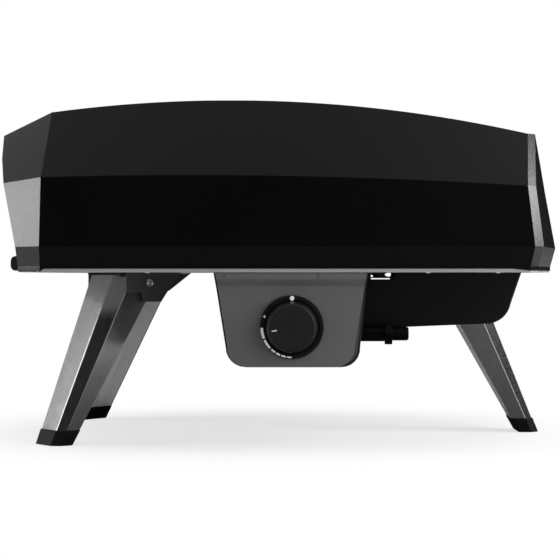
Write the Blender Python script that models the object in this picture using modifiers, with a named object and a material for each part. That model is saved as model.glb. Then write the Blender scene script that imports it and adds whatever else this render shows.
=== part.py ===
"""Portable gas pizza oven: faceted steel hood, stone, side burner and three folding legs.

Units are metres, +Z is up and the feet stand at Z = 0. The mouth faces -X and the
control box hangs on the -Y side.
"""
import math

import bmesh
import bpy
from mathutils import Matrix, Vector

# Shared running sizes
clearance = 0.0003
cut_overrun = 0.0200
wall_overrun = 0.0050
sheet_wall = 0.0015
thin_sheet = 0.0012

# Hood: overall size and the shares of it that place its folds
shell_length = 0.5860
shell_width = 0.4700
shell_height = 0.1685
roof_camber = 0.0100
ground_clearance = 0.1770
side_columns = 7
level_height_shares = (0.0, 0.117, 0.5395, 0.7237, 1.0)
side_width_shares = (0.957, 1.0, 0.945, 0.8905, 0.8085)
side_front_shares = (-0.820, -0.818, -0.818, -0.8085, -0.794)
side_rear_shares = (0.844, 0.8546, 0.836, 0.842, 0.851)
face_height_shares = (0.0, 0.117, 0.506, 0.666, 0.814)
face_x_shares = (-0.907, -0.9137, -0.970, -0.9867, -0.992)
face_width_shares = (0.851, 0.872, 0.745, 0.650, 0.553)
rear_corner_height_shares = (0.0, 0.117, 0.476, 0.604, 0.7964)
rear_corner_x_shares = (0.875, 0.889, 0.868, 0.873, 0.8805)
rear_corner_width_shares = (0.919, 0.962, 0.906, 0.8515, 0.770)
rear_panel_height_shares = (0.0, 0.117, 0.470, 0.620, 0.844)
rear_panel_x_shares = (0.981, 1.0, 0.9625, 0.948, 0.926)
rear_panel_width_share = 0.383
crown_x_share = -0.1765
roof_droop_share = 0.190
belt_peak_share = -0.313
belt_droop_share = 0.0481
face_inset_share = 0.50
front_camber_share = 0.50
side_front_inset_share = 0.45
side_rear_inset_share = 0.41
rear_corner_inset_share = 0.45

# Base tray
tray_height = 0.0055
tray_rim = 0.0030
tray_inset = 0.0010

# Mouth
mouth_flare = 0.0035
mouth_lean = 0.0350
mouth_roof_gap = 0.0760
mouth_corner_radius = 0.0240
mouth_corner_steps = 5
sleeve_proud = 0.0020
sleeve_back_gap = 0.0010

# Front lip
lip_overhang = 0.0110
lip_hang = 0.0045
lip_rise = 0.0109
lip_nose_radius_share = 0.45

# Cooking chamber
floor_board_height = 0.0080
floor_board_inset = 0.0060
mouth_depth = 0.0615
rear_gap = 0.0690
side_gap = 0.0535
roof_gap = 0.0556
chamber_shoulder_height_share = 0.66
chamber_shoulder_width_share = 0.937
chamber_arch_height_share = 0.93
chamber_arch_width_share = 0.66
blanket_gap = 0.0025

# Stone and its rails
stone_front_gap = 0.0135
stone_rear_gap = 0.1020
stone_far_gap = 0.0070
stone_guard_gap = 0.0038
stone_edge_round = 0.0012
stone_thickness = 0.0120
stone_corner_radius = 0.0120
stone_corner_steps = 4
stone_slide_gap = 0.0003
rail_width = 0.0080
rail_height = 0.0054
rail_end_gap = 0.0200
rail_side_gap = 0.0400

# Burner box under the hood
tub_left_margin = 0.0150
tub_right_margin = 0.0305
tub_near_margin = 0.0070
tub_width = 0.0740
tub_left_depth = 0.0587
tub_right_depth = 0.0522
tub_end_lean = 0.0105
tub_corner_radius = 0.0250
tub_corner_steps = 7
air_gap_offset = 0.0413
air_gap_length = 0.0250
air_gap_depth = 0.0067

# Burner, its supports and the gas way to it
burner_offset = 0.0250
burner_drop = 0.0320
burner_radius = 0.0120
burner_port_width = 0.0020
burner_port_depth = 0.0030
burner_port_margin = 0.0100
burner_wall = 0.0010
venturi_radius = 0.0080
venturi_wall = 0.0012
injector_radius = 0.0060
injector_length = 0.0100
venturi_length = 0.0284
flame_slot_setback = 0.3580
flame_slot_rear_gap = 0.0090
flame_slot_side_gap = 0.0165
flame_slot_width = 0.0330
guard_height = 0.0270
guard_overlap = 0.0050
guard_gap = 0.0015
saddle_half_width = 0.0160
saddle_thickness = 0.0020
saddle_arc_steps = 8
saddle_reach_share = 0.12
electrode_place_share = 0.37
electrode_offset = 0.0040
electrode_radius = 0.0025
electrode_tip_radius = 0.0008
electrode_height = 0.0290
electrode_tip_height = 0.0100
probe_place_share = 0.63
probe_wall_gap = 0.0055
probe_radius = 0.0020
probe_height = 0.0360
lead_radius = 0.0010
ignition_lead_drop = 0.0407
probe_lead_drop = 0.0347
ignition_lead_share = 0.3
probe_lead_share = 0.7
lead_bend_radius = 0.0050
gas_pipe_radius = 0.0030
gas_pipe_bend_radius = 0.0070

# Control box
panel_burner_offset = 0.0556
control_reach = 0.0500
panel_lip_step = 0.0080
panel_top_half_width = 0.0756
panel_bottom_half_width = 0.0605
panel_depth = 0.0946
panel_lip_height = 0.0060
panel_slant_height = 0.0080
panel_corner_radius = 0.0200
panel_corner_steps = 6
box_tub_gap = 0.0040
box_left_margin = 0.0017
box_right_margin_top = 0.0010
box_right_margin_bottom = 0.0066
panel_screw_radius = 0.0022
panel_screw_height = 0.0010
panel_screw_drop = 0.0032
panel_screw_offsets = (-0.0650, 0.0285)

# Valve and knob
knob_offset = 0.00075
knob_drop = 0.0545
valve_radius = 0.0170
valve_back_gap = 0.0025
valve_neck_radius = 0.0120
valve_neck_length = 0.0060
stem_radius = 0.0040
stem_bore_gap = 0.0001
stem_reach = 0.0160
stem_tail = 0.0175
knob_travel = 0.0035
sleeve_inner_gap = 0.0004
sleeve_outer_radius = 0.0060
sleeve_reach = 0.0125
sleeve_sink = 0.0080
spring_length = 0.0067
spring_wire_radius = 0.00035
spring_turns = 3.5
spring_points_per_turn = 12
panel_hole_radius = 0.0075
bezel_radius = 0.0318
bezel_recess_radius = 0.0274
bezel_floor = 0.0012
bezel_rim = 0.0039
knob_radius = 0.0260
knob_face_radius = 0.0237
knob_standoff = 0.0055
knob_height = 0.0151
knob_edge_round = 0.0020
knob_pointer_length = 0.0065
knob_pointer_width = 0.0022
knob_pointer_depth = 0.0006
knob_pointer_turn = 100.0
igniter_offset = 0.0191
igniter_width = 0.0180
igniter_depth = 0.0200
igniter_drop = 0.0467
igniter_height = 0.0280

# Gas inlet
inlet_setback = 0.0240
inlet_drop = 0.0617
inlet_tube_radius = 0.0050
inlet_body_radius = 0.00785
inlet_body_length = 0.0340
inlet_reach = 0.0948
collar_radius = 0.0120
collar_length = 0.0072
collar_bevel_share = 0.125
ridge_crest_start_share = 0.25
ridge_crest_end_share = 0.50
ridge_foot_share = 0.75
nipple_length = 0.0166
nipple_radius = 0.0073
nipple_core_radius = 0.0066
nipple_root_radius = 0.0055
nipple_bore_radius = 0.0040
thread_ridges = 9

# Legs, feet and hinges
leg_wall = 0.0015
leg_slope_share = 0.403
leg_section_low = 0.0160
leg_section_high = 0.1700
leg_web_low = 0.0302
leg_web_high = 0.0428
leg_chamfer_low = 0.00785
leg_chamfer_high = 0.0142
leg_flange_low = 0.0150
leg_flange_high = 0.0329
leg_top_gap = 0.0027
front_leg_turn = 37.4
front_leg_end_inset = 0.0490
front_leg_side_inset = 0.0680
rear_leg_inset = 0.0085
pivot_drop = 0.0110
pivot_inset = 0.1037
knuckle_radius = 0.0100
knuckle_steps = 6
pin_radius = 0.0030
pin_hole_gap = 0.0003
pin_head_radius = 0.0045
pin_head_height = 0.0026
pin_crown_share = 0.667
pin_shoulder_share = 0.333
cap_wall = 0.0010
cap_height = 0.0155
cap_floor = 0.0020
ear_half_span = 0.0365
ear_wall = 0.0020
ear_outward_reach = 0.0274
ear_inward_reach = 0.0398
ear_outward_drop = 0.0094
ear_step_outward = 0.0095
ear_nose_drop = 0.0197
ear_nose_outward = 0.0065
ear_nose_inward = 0.0150
plain_ear_drop = 0.0106
plain_ear_inward = 0.0050
ear_heel_inward = 0.0236
ear_heel_drop = 0.0084
bridge_start = 0.0120
pad_length = 0.0110
pad_width = 0.0080
pad_height = 0.0019
pad_outward = 0.0262
pad_offset = 0.0288

# Roundness
round_steps = 32
small_steps = 16
tube_resolution = 2

part_collection = bpy.data.collections.new("portable_pizza_oven")
cutter_collection = bpy.data.collections.new("cutters")

half_length = shell_length / 2
half_width = shell_width / 2
shell_bottom = ground_clearance + tray_height + clearance
crown_x = crown_x_share * half_length
under_base = ground_clearance - clearance
tray_floor_top = ground_clearance + sheet_wall
board_bottom = tray_floor_top + clearance
board_top = board_bottom + floor_board_height
liner_bottom = board_top + clearance
floor_top = liner_bottom + thin_sheet
lip_top = shell_bottom + lip_rise
chamber_front = mouth_depth - half_length
chamber_rear = half_length - rear_gap
chamber_half_width = half_width - side_gap
chamber_height = shell_height - roof_gap
mouth_foot_half_width = chamber_half_width + mouth_flare
mouth_top_half_width = mouth_foot_half_width - mouth_lean
mouth_height = shell_height - mouth_roof_gap
mouth_lean_share = mouth_lean / mouth_height
lip_half_width = mouth_foot_half_width - lip_rise * mouth_lean_share - 2 * clearance
flame_slot_left = flame_slot_setback - half_length
flame_slot_right = chamber_rear - flame_slot_rear_gap
flame_slot_near_y = flame_slot_side_gap - chamber_half_width
flame_slot_far_y = flame_slot_near_y + flame_slot_width
guard_y = flame_slot_far_y + guard_gap
stone_left = chamber_front + stone_front_gap
stone_right = chamber_rear - stone_rear_gap
stone_near_y = guard_y + thin_sheet + stone_guard_gap
stone_far_y = chamber_half_width - stone_far_gap
rail_top = floor_top + clearance + rail_height
stone_bottom = rail_top + stone_slide_gap
burner_y = flame_slot_near_y + burner_offset
burner_z = ground_clearance - burner_drop
tub_near_y = flame_slot_near_y - tub_near_margin
tub_far_y = tub_near_y + tub_width
tub_left = flame_slot_left - tub_left_margin
tub_right = flame_slot_right + tub_right_margin
tub_length = tub_right - tub_left
ignition_lead_z = under_base - ignition_lead_drop
probe_lead_z = under_base - probe_lead_drop
electrode_y = flame_slot_near_y + electrode_offset
probe_y = tub_near_y + probe_wall_gap
panel_x = flame_slot_left - panel_burner_offset
panel_lip_y = tub_near_y - control_reach
panel_face_y = panel_lip_y + panel_lip_step
box_back_y = tub_near_y - box_tub_gap
knob_x = panel_x + knob_offset
knob_z = under_base - knob_drop
knob_back_y = panel_face_y - knob_standoff
valve_back_y = box_back_y - valve_back_gap
stem_tip_y = panel_face_y - stem_reach
stem_tail_y = valve_back_y - stem_tail
sleeve_front_y = panel_face_y - sleeve_reach
sleeve_back_y = panel_face_y + sleeve_sink
igniter_left = panel_x + igniter_offset
igniter_right = igniter_left + igniter_width
igniter_bottom = under_base - igniter_drop
inlet_y = panel_face_y + inlet_setback
inlet_z = under_base - inlet_drop
inlet_end_x = panel_x + inlet_reach
pivot_z = ground_clearance - pivot_drop


def material(name, colour, roughness, metallic):
    """A Principled material with one colour, roughness and metallic value."""
    result = bpy.data.materials.new(name)
    result.use_nodes = True
    shader = result.node_tree.nodes["Principled BSDF"]
    shader.inputs["Base Color"].default_value = (*colour, 1.0)
    shader.inputs["Roughness"].default_value = roughness
    shader.inputs["Metallic"].default_value = metallic
    result.diffuse_color = (*colour, 1.0)
    return result


def clear_scene():
    """Removes every object and links the two collections."""
    for item in list(bpy.data.objects):
        bpy.data.objects.remove(item)
    bpy.context.scene.collection.children.link(part_collection)
    bpy.context.scene.collection.children.link(cutter_collection)


def add_object(name, data, surface=None, cutter=False):
    """Links an object; a cutter goes to its own collection, hidden from renders."""
    item = bpy.data.objects.new(name, data)
    if cutter:
        cutter_collection.objects.link(item)
        item.hide_render = True
        item.display_type = "WIRE"
    else:
        part_collection.objects.link(item)
        data.materials.append(surface)
    return item


def cut(item, cutter):
    """Cuts one closed solid from another with an exact Boolean."""
    step = item.modifiers.new("cut " + cutter.name, "BOOLEAN")
    step.operation = "DIFFERENCE"
    step.solver = "EXACT"
    step.object = cutter
    return item


def solidify(item, wall):
    """Gives an open surface its wall, on the inner side."""
    step = item.modifiers.new("wall", "SOLIDIFY")
    step.thickness = wall
    step.offset = -1
    step.use_even_offset = True
    return item


def soften(item, width, segments=1):
    """Rounds the sharp edges of a solid."""
    step = item.modifiers.new("edges", "BEVEL")
    step.width = width
    step.segments = segments
    step.limit_method = "ANGLE"
    return item


def box(name, low, high, surface=None, cutter=False):
    """A box between two corners."""
    shape = bmesh.new()
    bmesh.ops.create_cube(shape, size=1)
    size = [top - bottom for bottom, top in zip(low, high)]
    middle = [(top + bottom) / 2 for bottom, top in zip(low, high)]
    bmesh.ops.transform(shape, matrix=Matrix.Diagonal((*size, 1)), verts=shape.verts)
    data = bpy.data.meshes.new(name)
    shape.to_mesh(data)
    shape.free()
    item = add_object(name, data, surface, cutter)
    item.location = middle
    return item


def rod(name, start, end, radius, steps, surface=None, cutter=False):
    """A round bar between two points."""
    start, end = Vector(start), Vector(end)
    shape = bmesh.new()
    bmesh.ops.create_cone(shape, cap_ends=True, segments=steps, radius1=radius, radius2=radius,
                          depth=(end - start).length)
    data = bpy.data.meshes.new(name)
    shape.to_mesh(data)
    shape.free()
    item = add_object(name, data, surface, cutter)
    item.location = (start + end) / 2
    item.rotation_mode = "QUATERNION"
    item.rotation_quaternion = (end - start).to_track_quat("Z", "Y")
    data.shade_smooth()
    data.set_sharp_from_angle(angle=math.radians(40))
    return item


toward_x = Matrix.Rotation(math.radians(90), 4, "Y")
toward_front = Matrix.Rotation(math.radians(90), 4, "X")


def turned(name, profile, location, turn, surface=None, steps=round_steps, cutter=False):
    """A profile of (radius, height) points, down its outer side, turned about local Z."""
    data = bpy.data.meshes.new(name)
    points = [(radius, 0, height) for radius, height in profile]
    edges = [(index, index + 1) for index in range(len(points) - 1)]
    if profile[0][0] > 0 and profile[-1][0] > 0:
        edges.append((len(points) - 1, 0))
    data.from_pydata(points, edges, [])
    item = add_object(name, data, surface, cutter)
    step = item.modifiers.new("turn", "SCREW")
    step.axis = "Z"
    step.steps = steps
    step.render_steps = steps
    step.use_merge_vertices = True
    step.merge_threshold = 0.00001
    step.use_smooth_shade = True
    smooth = item.modifiers.new("weld", "WELD")
    smooth.merge_threshold = 0.00001
    item.matrix_world = Matrix.Translation(location) @ turn
    return item


def outline_solid(name, outline, low, high, axis, surface=None, cutter=False):
    """A flat outline with a thickness along one axis, from a filled 2D curve.

    The outline's points are (y, z) along X, (x, z) along Y and (x, y) along Z.
    """
    curve = bpy.data.curves.new(name, "CURVE")
    curve.dimensions = "2D"
    curve.fill_mode = "BOTH"
    curve.extrude = (high - low) / 2
    spline = curve.splines.new("POLY")
    spline.points.add(len(outline) - 1)
    for point, (across, up) in zip(spline.points, outline):
        point.co = (across, up, 0, 1)
    spline.use_cyclic_u = True
    flat = bpy.data.objects.new(name + " outline", curve)
    bpy.context.scene.collection.objects.link(flat)
    bpy.context.view_layer.update()
    data = bpy.data.meshes.new_from_object(flat.evaluated_get(bpy.context.evaluated_depsgraph_get()))
    data.name = name
    bpy.data.objects.remove(flat)
    middle = (high + low) / 2
    placing = {
        "X": Matrix(((0, 0, 1, middle), (1, 0, 0, 0), (0, 1, 0, 0), (0, 0, 0, 1))),
        "Y": Matrix(((1, 0, 0, 0), (0, 0, -1, middle), (0, 1, 0, 0), (0, 0, 0, 1))),
        "Z": Matrix.Translation((0, 0, middle)),
    }[axis]
    shape = bmesh.new()
    shape.from_mesh(data)
    bmesh.ops.transform(shape, matrix=placing, verts=shape.verts)
    bmesh.ops.remove_doubles(shape, verts=shape.verts, dist=0.00001)
    bmesh.ops.recalc_face_normals(shape, faces=shape.faces)
    shape.to_mesh(data)
    shape.free()
    return add_object(name, data, surface, cutter)


def loft(name, rings, surface=None, cutter=False, caps=True, closed=True):
    """A skin over rings of equally many points, capped at both ends if it is a solid."""
    shape = bmesh.new()
    rows = [[shape.verts.new(point) for point in ring] for ring in rings]
    count = len(rows[0])
    for low, high in zip(rows, rows[1:]):
        for index in range(count if closed else count - 1):
            after = (index + 1) % count
            shape.faces.new((low[index], low[after], high[after], high[index]))
    if caps:
        shape.faces.new(reversed(rows[0]))
        shape.faces.new(rows[-1])
    bmesh.ops.recalc_face_normals(shape, faces=shape.faces)
    data = bpy.data.meshes.new(name)
    shape.to_mesh(data)
    shape.free()
    return add_object(name, data, surface, cutter)


def wire(name, points, radius, surface):
    """A round tube or wire along a route, with filled ends."""
    curve = bpy.data.curves.new(name, "CURVE")
    curve.dimensions = "3D"
    curve.bevel_depth = radius
    curve.bevel_resolution = tube_resolution
    curve.use_fill_caps = True
    spline = curve.splines.new("POLY")
    spline.points.add(len(points) - 1)
    for point, place in zip(spline.points, points):
        point.co = (*place, 1)
    return add_object(name, curve, surface)


def rounded_route(corners, radius, steps=5):
    """The points of a route whose inner corners are rounded to one radius."""
    corners = [Vector(corner) for corner in corners]
    route = [corners[0]]
    for before, corner, after in zip(corners, corners[1:], corners[2:]):
        back = (before - corner).normalized()
        ahead = (after - corner).normalized()
        half = back.angle(ahead) / 2
        reach = radius / math.tan(half)
        start, end = corner + back * reach, corner + ahead * reach
        for index in range(steps + 1):
            share = index / steps
            route.append(start * (1 - share) ** 2 + corner * 2 * share * (1 - share) + end * share ** 2)
    route.append(corners[-1])
    return route


def arc(centre, radius, start, end, steps):
    """Points on an arc between two angles in degrees, both ends included."""
    points = []
    for index in range(steps + 1):
        angle = math.radians(start + (end - start) * index / steps)
        points.append((centre[0] + radius * math.cos(angle), centre[1] + radius * math.sin(angle)))
    return points


def between(low, high, share):
    """The value a share of the way from low to high."""
    return low + (high - low) * share


def roof_edge_height(x):
    """Height of the hood's long roof edge at x, which droops both ways from the crown."""
    droop = roof_droop_share * ((x - crown_x) / half_length) ** 2
    return shell_bottom + shell_height * (1 - droop)


def belt_height(x):
    """Height of the belt fold along the hood's side at x."""
    droop = belt_droop_share * ((x - belt_peak_share * half_length) / half_length) ** 2
    return shell_bottom + shell_height * (level_height_shares[2] - droop)


def side_point(level, share):
    """A point on the near side panel at one fold and a share of the way to the rear."""
    x = between(side_front_shares[level], side_rear_shares[level], share) * half_length
    y = -side_width_shares[level] * half_width
    if level == 4:
        return Vector((x, y, roof_edge_height(x)))
    if level == 2:
        return Vector((x, y, belt_height(x)))
    if level == 3:
        belt_share = (level_height_shares[3] - level_height_shares[2]) / (1 - level_height_shares[2])
        return Vector((x, y, between(belt_height(x), roof_edge_height(x), belt_share)))
    return Vector((x, y, shell_bottom + shell_height * level_height_shares[level]))


def hull_half(level, inset, floor):
    """Points of one fold line from the front middle round the near side to the rear middle."""
    drop = inset if level == 4 else 0
    face = Vector((face_x_shares[level] * half_length + inset, -face_width_shares[level] * half_width,
                   shell_bottom + shell_height * face_height_shares[level] - drop))
    camber = roof_camber * front_camber_share if level == 4 else 0
    points = [Vector((face.x, 0, face.z + camber)), face + Vector((0, inset * face_inset_share, 0))]
    for column in range(side_columns):
        share = column / (side_columns - 1)
        point = side_point(level, share) + Vector((0, inset, -drop))
        if column == 0:
            point.x += inset * side_front_inset_share
        if column == side_columns - 1:
            point.x -= inset * side_rear_inset_share
        points.append(point)
    corner = Vector((rear_corner_x_shares[level] * half_length - inset,
                     -rear_corner_width_shares[level] * half_width + inset * rear_corner_inset_share,
                     shell_bottom + shell_height * rear_corner_height_shares[level] - drop))
    panel = Vector((rear_panel_x_shares[level] * half_length - inset, -rear_panel_width_share * half_width,
                    shell_bottom + shell_height * rear_panel_height_shares[level] - drop))
    points += [corner, panel, Vector((panel.x, 0, panel.z))]
    if level == 0:
        for point in points:
            point.z = floor
    return points


def hull(name, inset, floor, surface=None, cutter=False, open_below=False):
    """The faceted hood form, drawn in by an inset: a closed solid or a skin open below."""
    shape = bmesh.new()
    rings = []
    for level in range(len(level_height_shares)):
        near = hull_half(level, inset, floor)
        far = [Vector((point.x, -point.y, point.z)) for point in near[-2:0:-1]]
        rings.append([shape.verts.new(point) for point in near + far])
    count = len(rings[0])
    for low, high in zip(rings, rings[1:]):
        for index in range(count):
            after = (index + 1) % count
            shape.faces.new((low[index], low[after], high[after], high[index]))
    roof = rings[-1]
    last = side_columns + 1
    near_row = roof[2:2 + side_columns]
    far_row = [roof[(-2 - column) % count] for column in range(side_columns)]
    inner_y = rear_panel_width_share * half_width
    inner_rise = roof_camber * (1 - (inner_y / (side_width_shares[4] * half_width)) ** 2)
    rows = []
    for near, far in zip(near_row, far_row):
        rows.append([near,
                     shape.verts.new((near.co.x, -inner_y, near.co.z + inner_rise)),
                     shape.verts.new((near.co.x, 0, near.co.z + roof_camber)),
                     shape.verts.new((near.co.x, inner_y, near.co.z + inner_rise)),
                     far])
    for low, high in zip(rows, rows[1:]):
        for index in range(4):
            shape.faces.new((low[index], high[index], high[index + 1], low[index + 1]))
    front = rows[0]
    face_near, face_middle, face_far = roof[1], roof[0], roof[-1]
    shape.faces.new((front[0], front[1], face_near))
    shape.faces.new((front[1], front[2], face_middle, face_near))
    shape.faces.new((front[2], front[3], face_far, face_middle))
    shape.faces.new((front[3], front[4], face_far))
    back = rows[-1]
    near_corner, near_panel, rear_middle = roof[last + 1], roof[last + 2], roof[last + 3]
    far_panel, far_corner = roof[last + 4], roof[last + 5]
    shape.faces.new((back[0], near_corner, back[1]))
    shape.faces.new((near_corner, near_panel, back[1]))
    shape.faces.new((back[1], near_panel, rear_middle, back[2]))
    shape.faces.new((back[2], rear_middle, far_panel, back[3]))
    shape.faces.new((back[3], far_panel, far_corner))
    shape.faces.new((back[3], far_corner, back[4]))
    if not open_below:
        shape.faces.new(rings[0])
    bmesh.ops.recalc_face_normals(shape, faces=shape.faces)
    data = bpy.data.meshes.new(name)
    shape.to_mesh(data)
    shape.free()
    return add_object(name, data, surface, cutter)


def face_x(height):
    """X of the hood's front face at a height, read along its folds."""
    heights = [shell_bottom + shell_height * share for share in face_height_shares]
    places = [share * half_length for share in face_x_shares]
    for low, high, start, end in zip(heights, heights[1:], places, places[1:]):
        if height <= high:
            return between(start, end, (height - low) / (high - low))
    return places[-1]


def mouth_outline(inset, bottom):
    """The mouth's outline drawn in by an inset, from its near foot over the top to its far foot."""
    top = shell_bottom + mouth_height - inset
    foot = mouth_foot_half_width - inset
    head = mouth_top_half_width - inset
    lean = math.degrees(math.atan2(foot - head, top - shell_bottom))
    radius = mouth_corner_radius
    reach = radius * math.tan(math.radians((90 - lean) / 2))
    near = arc((-head + reach, top - radius), radius, 180 - lean, 90, mouth_corner_steps)
    far = [(-y, z) for y, z in reversed(near)]
    spread = (foot - head) * (shell_bottom - bottom) / (top - shell_bottom)
    return [(-foot - spread, bottom)] + near + far + [(foot + spread, bottom)]


def chamber_outline(grow, bottom):
    """The chamber's vaulted outline, grown outward by a margin."""
    side = chamber_half_width + grow
    shoulder = chamber_half_width * chamber_shoulder_width_share + grow
    arch = chamber_half_width * chamber_arch_width_share + grow
    base = liner_bottom
    near = [(-side, bottom)] if bottom < base else []
    near += [(-side, base),
             (-shoulder, base + chamber_height * chamber_shoulder_height_share + grow),
             (-arch, base + chamber_height * chamber_arch_height_share + grow)]
    return near + [(0, base + chamber_height + grow)] + [(-y, z) for y, z in reversed(near)]


def base_outline(inset):
    """The hood's lower edge in plan, drawn in by an inset."""
    points = hull_half(0, inset, shell_bottom)
    near = [(point.x, point.y) for point in points[1:3] + points[side_columns + 1:-1]]
    return near + [(x, -y) for x, y in reversed(near)]


def slot_cutter(name, low, high):
    """The straight way for the flames, between two heights."""
    return box(name, (flame_slot_left, flame_slot_near_y, low), (flame_slot_right, flame_slot_far_y, high),
               cutter=True)


def build_hood():
    """The outer shell, its mouth sleeve, the insulation and the chamber liner."""
    black = material("powder_coat_black", (0.022, 0.022, 0.024), 0.42, 0.0)
    shell = hull("outer_shell", 0, shell_bottom, black, open_below=True)
    solidify(shell, sheet_wall)
    hole = mouth_outline(0, shell_bottom - cut_overrun)
    outside = -half_length - cut_overrun
    cut(shell, outline_solid("mouth cutter", hole, outside, chamber_front, "X", cutter=True))

    steel = material("brushed_steel", (0.55, 0.55, 0.54), 0.32, 1.0)
    path = mouth_outline(clearance, lip_top + clearance + sheet_wall * mouth_lean_share)
    front_row = [(face_x(z) - sleeve_proud, y, z) for y, z in path]
    back_x = chamber_front - sleeve_back_gap
    back_row = [(back_x, y, z) for y, z in path]
    sleeve = loft("mouth_sleeve", [front_row, back_row], steel, caps=False, closed=False)
    face_inward(sleeve, Vector((chamber_front, 0, lip_top)))
    solidify(sleeve, sheet_wall)

    wool = material("ceramic_fibre", (0.78, 0.76, 0.70), 0.95, 0.0)
    blanket = hull("insulation_blanket", sheet_wall + blanket_gap, liner_bottom, wool)
    core = chamber_outline(clearance, liner_bottom - cut_overrun)
    cut(blanket, outline_solid("chamber cutter", core, chamber_front - clearance,
                               chamber_rear + clearance, "X", cutter=True))
    wide = mouth_outline(-clearance, liner_bottom - cut_overrun)
    cut(blanket, outline_solid("mouth way cutter", wide, outside, chamber_front + clearance, "X",
                               cutter=True))

    liner_steel = material("heat_stained_steel", (0.42, 0.36, 0.30), 0.38, 1.0)
    liner = outline_solid("chamber_liner", chamber_outline(0, liner_bottom), chamber_front, chamber_rear,
                          "X", liner_steel)
    inside = chamber_outline(-thin_sheet, liner_bottom - cut_overrun)
    cut(liner, outline_solid("chamber inside cutter", inside, chamber_front + thin_sheet,
                             chamber_rear - thin_sheet, "X", cutter=True))
    throat = mouth_outline(sheet_wall, liner_bottom - cut_overrun)
    cut(liner, outline_solid("throat cutter", throat, chamber_front - cut_overrun,
                             chamber_front + cut_overrun, "X", cutter=True))


def face_inward(item, middle):
    """Turns an open surface's faces so that they point away from a middle point."""
    shape = bmesh.new()
    shape.from_mesh(item.data)
    for face in shape.faces:
        face.normal_update()
    wrong = [face for face in shape.faces if face.normal.dot(face.calc_center_median() - middle) < 0]
    bmesh.ops.reverse_faces(shape, faces=wrong)
    shape.to_mesh(item.data)
    shape.free()


def build_base():
    """The base tray, the floor board, the chamber floor and the front lip."""
    steel = material("galvanised_sheet", (0.50, 0.51, 0.51), 0.35, 1.0)
    tray = outline_solid("base_tray", base_outline(tray_inset), ground_clearance,
                         ground_clearance + tray_height, "Z", steel)
    cut(tray, outline_solid("tray cutter", base_outline(tray_inset + tray_rim), tray_floor_top,
                            tray_floor_top + cut_overrun, "Z", cutter=True))
    cut(tray, slot_cutter("tray slot cutter", ground_clearance - cut_overrun, tray_floor_top + cut_overrun))

    board_white = material("insulation_board", (0.72, 0.69, 0.62), 0.9, 0.0)
    board = outline_solid("floor_board", base_outline(floor_board_inset), board_bottom, board_top, "Z",
                          board_white)
    cut(board, slot_cutter("board slot cutter", board_bottom - cut_overrun, board_top + cut_overrun))

    stained = material("floor_steel", (0.40, 0.35, 0.30), 0.42, 1.0)
    side = chamber_half_width - thin_sheet - clearance
    floor = box("chamber_floor", (chamber_front + thin_sheet, -side, liner_bottom),
                (chamber_rear - thin_sheet - clearance, side, floor_top), stained)
    cut(floor, slot_cutter("floor slot cutter", liner_bottom - cut_overrun, floor_top + cut_overrun))

    dark = material("lip_black", (0.03, 0.03, 0.032), 0.4, 0.0)
    nose_back = min(x for x, y in base_outline(tray_inset)) - clearance
    nose = nose_back - lip_overhang
    bottom = shell_bottom + clearance - lip_hang
    radius = lip_overhang * lip_nose_radius_share
    ledge = shell_bottom + clearance
    plate_bottom = lip_top - sheet_wall
    profile = [(nose_back, bottom)]
    profile += arc((nose + radius, bottom + radius), radius, 270, 180, 3)
    profile += arc((nose + radius, lip_top - radius), radius, 180, 90, 3)
    rear = chamber_front - clearance
    heel = nose_back + lip_overhang * lip_nose_radius_share
    profile += [(rear, lip_top), (rear, plate_bottom), (heel, plate_bottom), (heel, ledge),
                (nose_back, ledge)]
    outline_solid("front_lip", profile, -lip_half_width, lip_half_width, "Y", dark)


def build_stone():
    """The baking stone on its two rails."""
    steel = material("rail_steel", (0.5, 0.5, 0.5), 0.4, 1.0)
    for name, y in (("stone_rail_near", stone_near_y + rail_side_gap),
                    ("stone_rail_far", stone_far_y - rail_side_gap)):
        box(name, (stone_left + rail_end_gap, y - rail_width / 2, floor_top + clearance),
            (stone_right - rail_end_gap, y + rail_width / 2, rail_top), steel)
    cordierite = material("cordierite", (0.62, 0.52, 0.40), 0.9, 0.0)
    radius = stone_corner_radius
    left, right = stone_left + radius, stone_right - radius
    near, far = stone_near_y + radius, stone_far_y - radius
    outline = []
    for quarter, centre in enumerate(((right, far), (left, far), (left, near), (right, near))):
        outline += arc(centre, radius, 90 * quarter, 90 * quarter + 90, stone_corner_steps)
    stone = outline_solid("baking_stone", outline, stone_bottom, stone_bottom + stone_thickness, "Z",
                          cordierite)
    soften(stone, stone_edge_round)


def tub_floor(x):
    """Height of the burner box's underside at x."""
    run = tub_length - tub_end_lean - tub_corner_radius
    return under_base - between(tub_left_depth, tub_right_depth, (x - tub_left) / run)


def tub_outline(wall, top):
    """The burner box from its side, drawn in by its wall."""
    lean = math.degrees(math.atan2(tub_end_lean, tub_right_depth))
    radius = tub_corner_radius - wall
    bottom = under_base - tub_right_depth + wall
    right = tub_right - wall
    low_right = right - tub_end_lean
    centre = (low_right - radius, bottom + radius)
    outline = [(tub_left + wall, top), (tub_left + wall, tub_floor(tub_left) + wall)]
    outline += arc(centre, radius, 270, 360 - lean, tub_corner_steps)
    outline += [(right, top)]
    return outline


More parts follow.
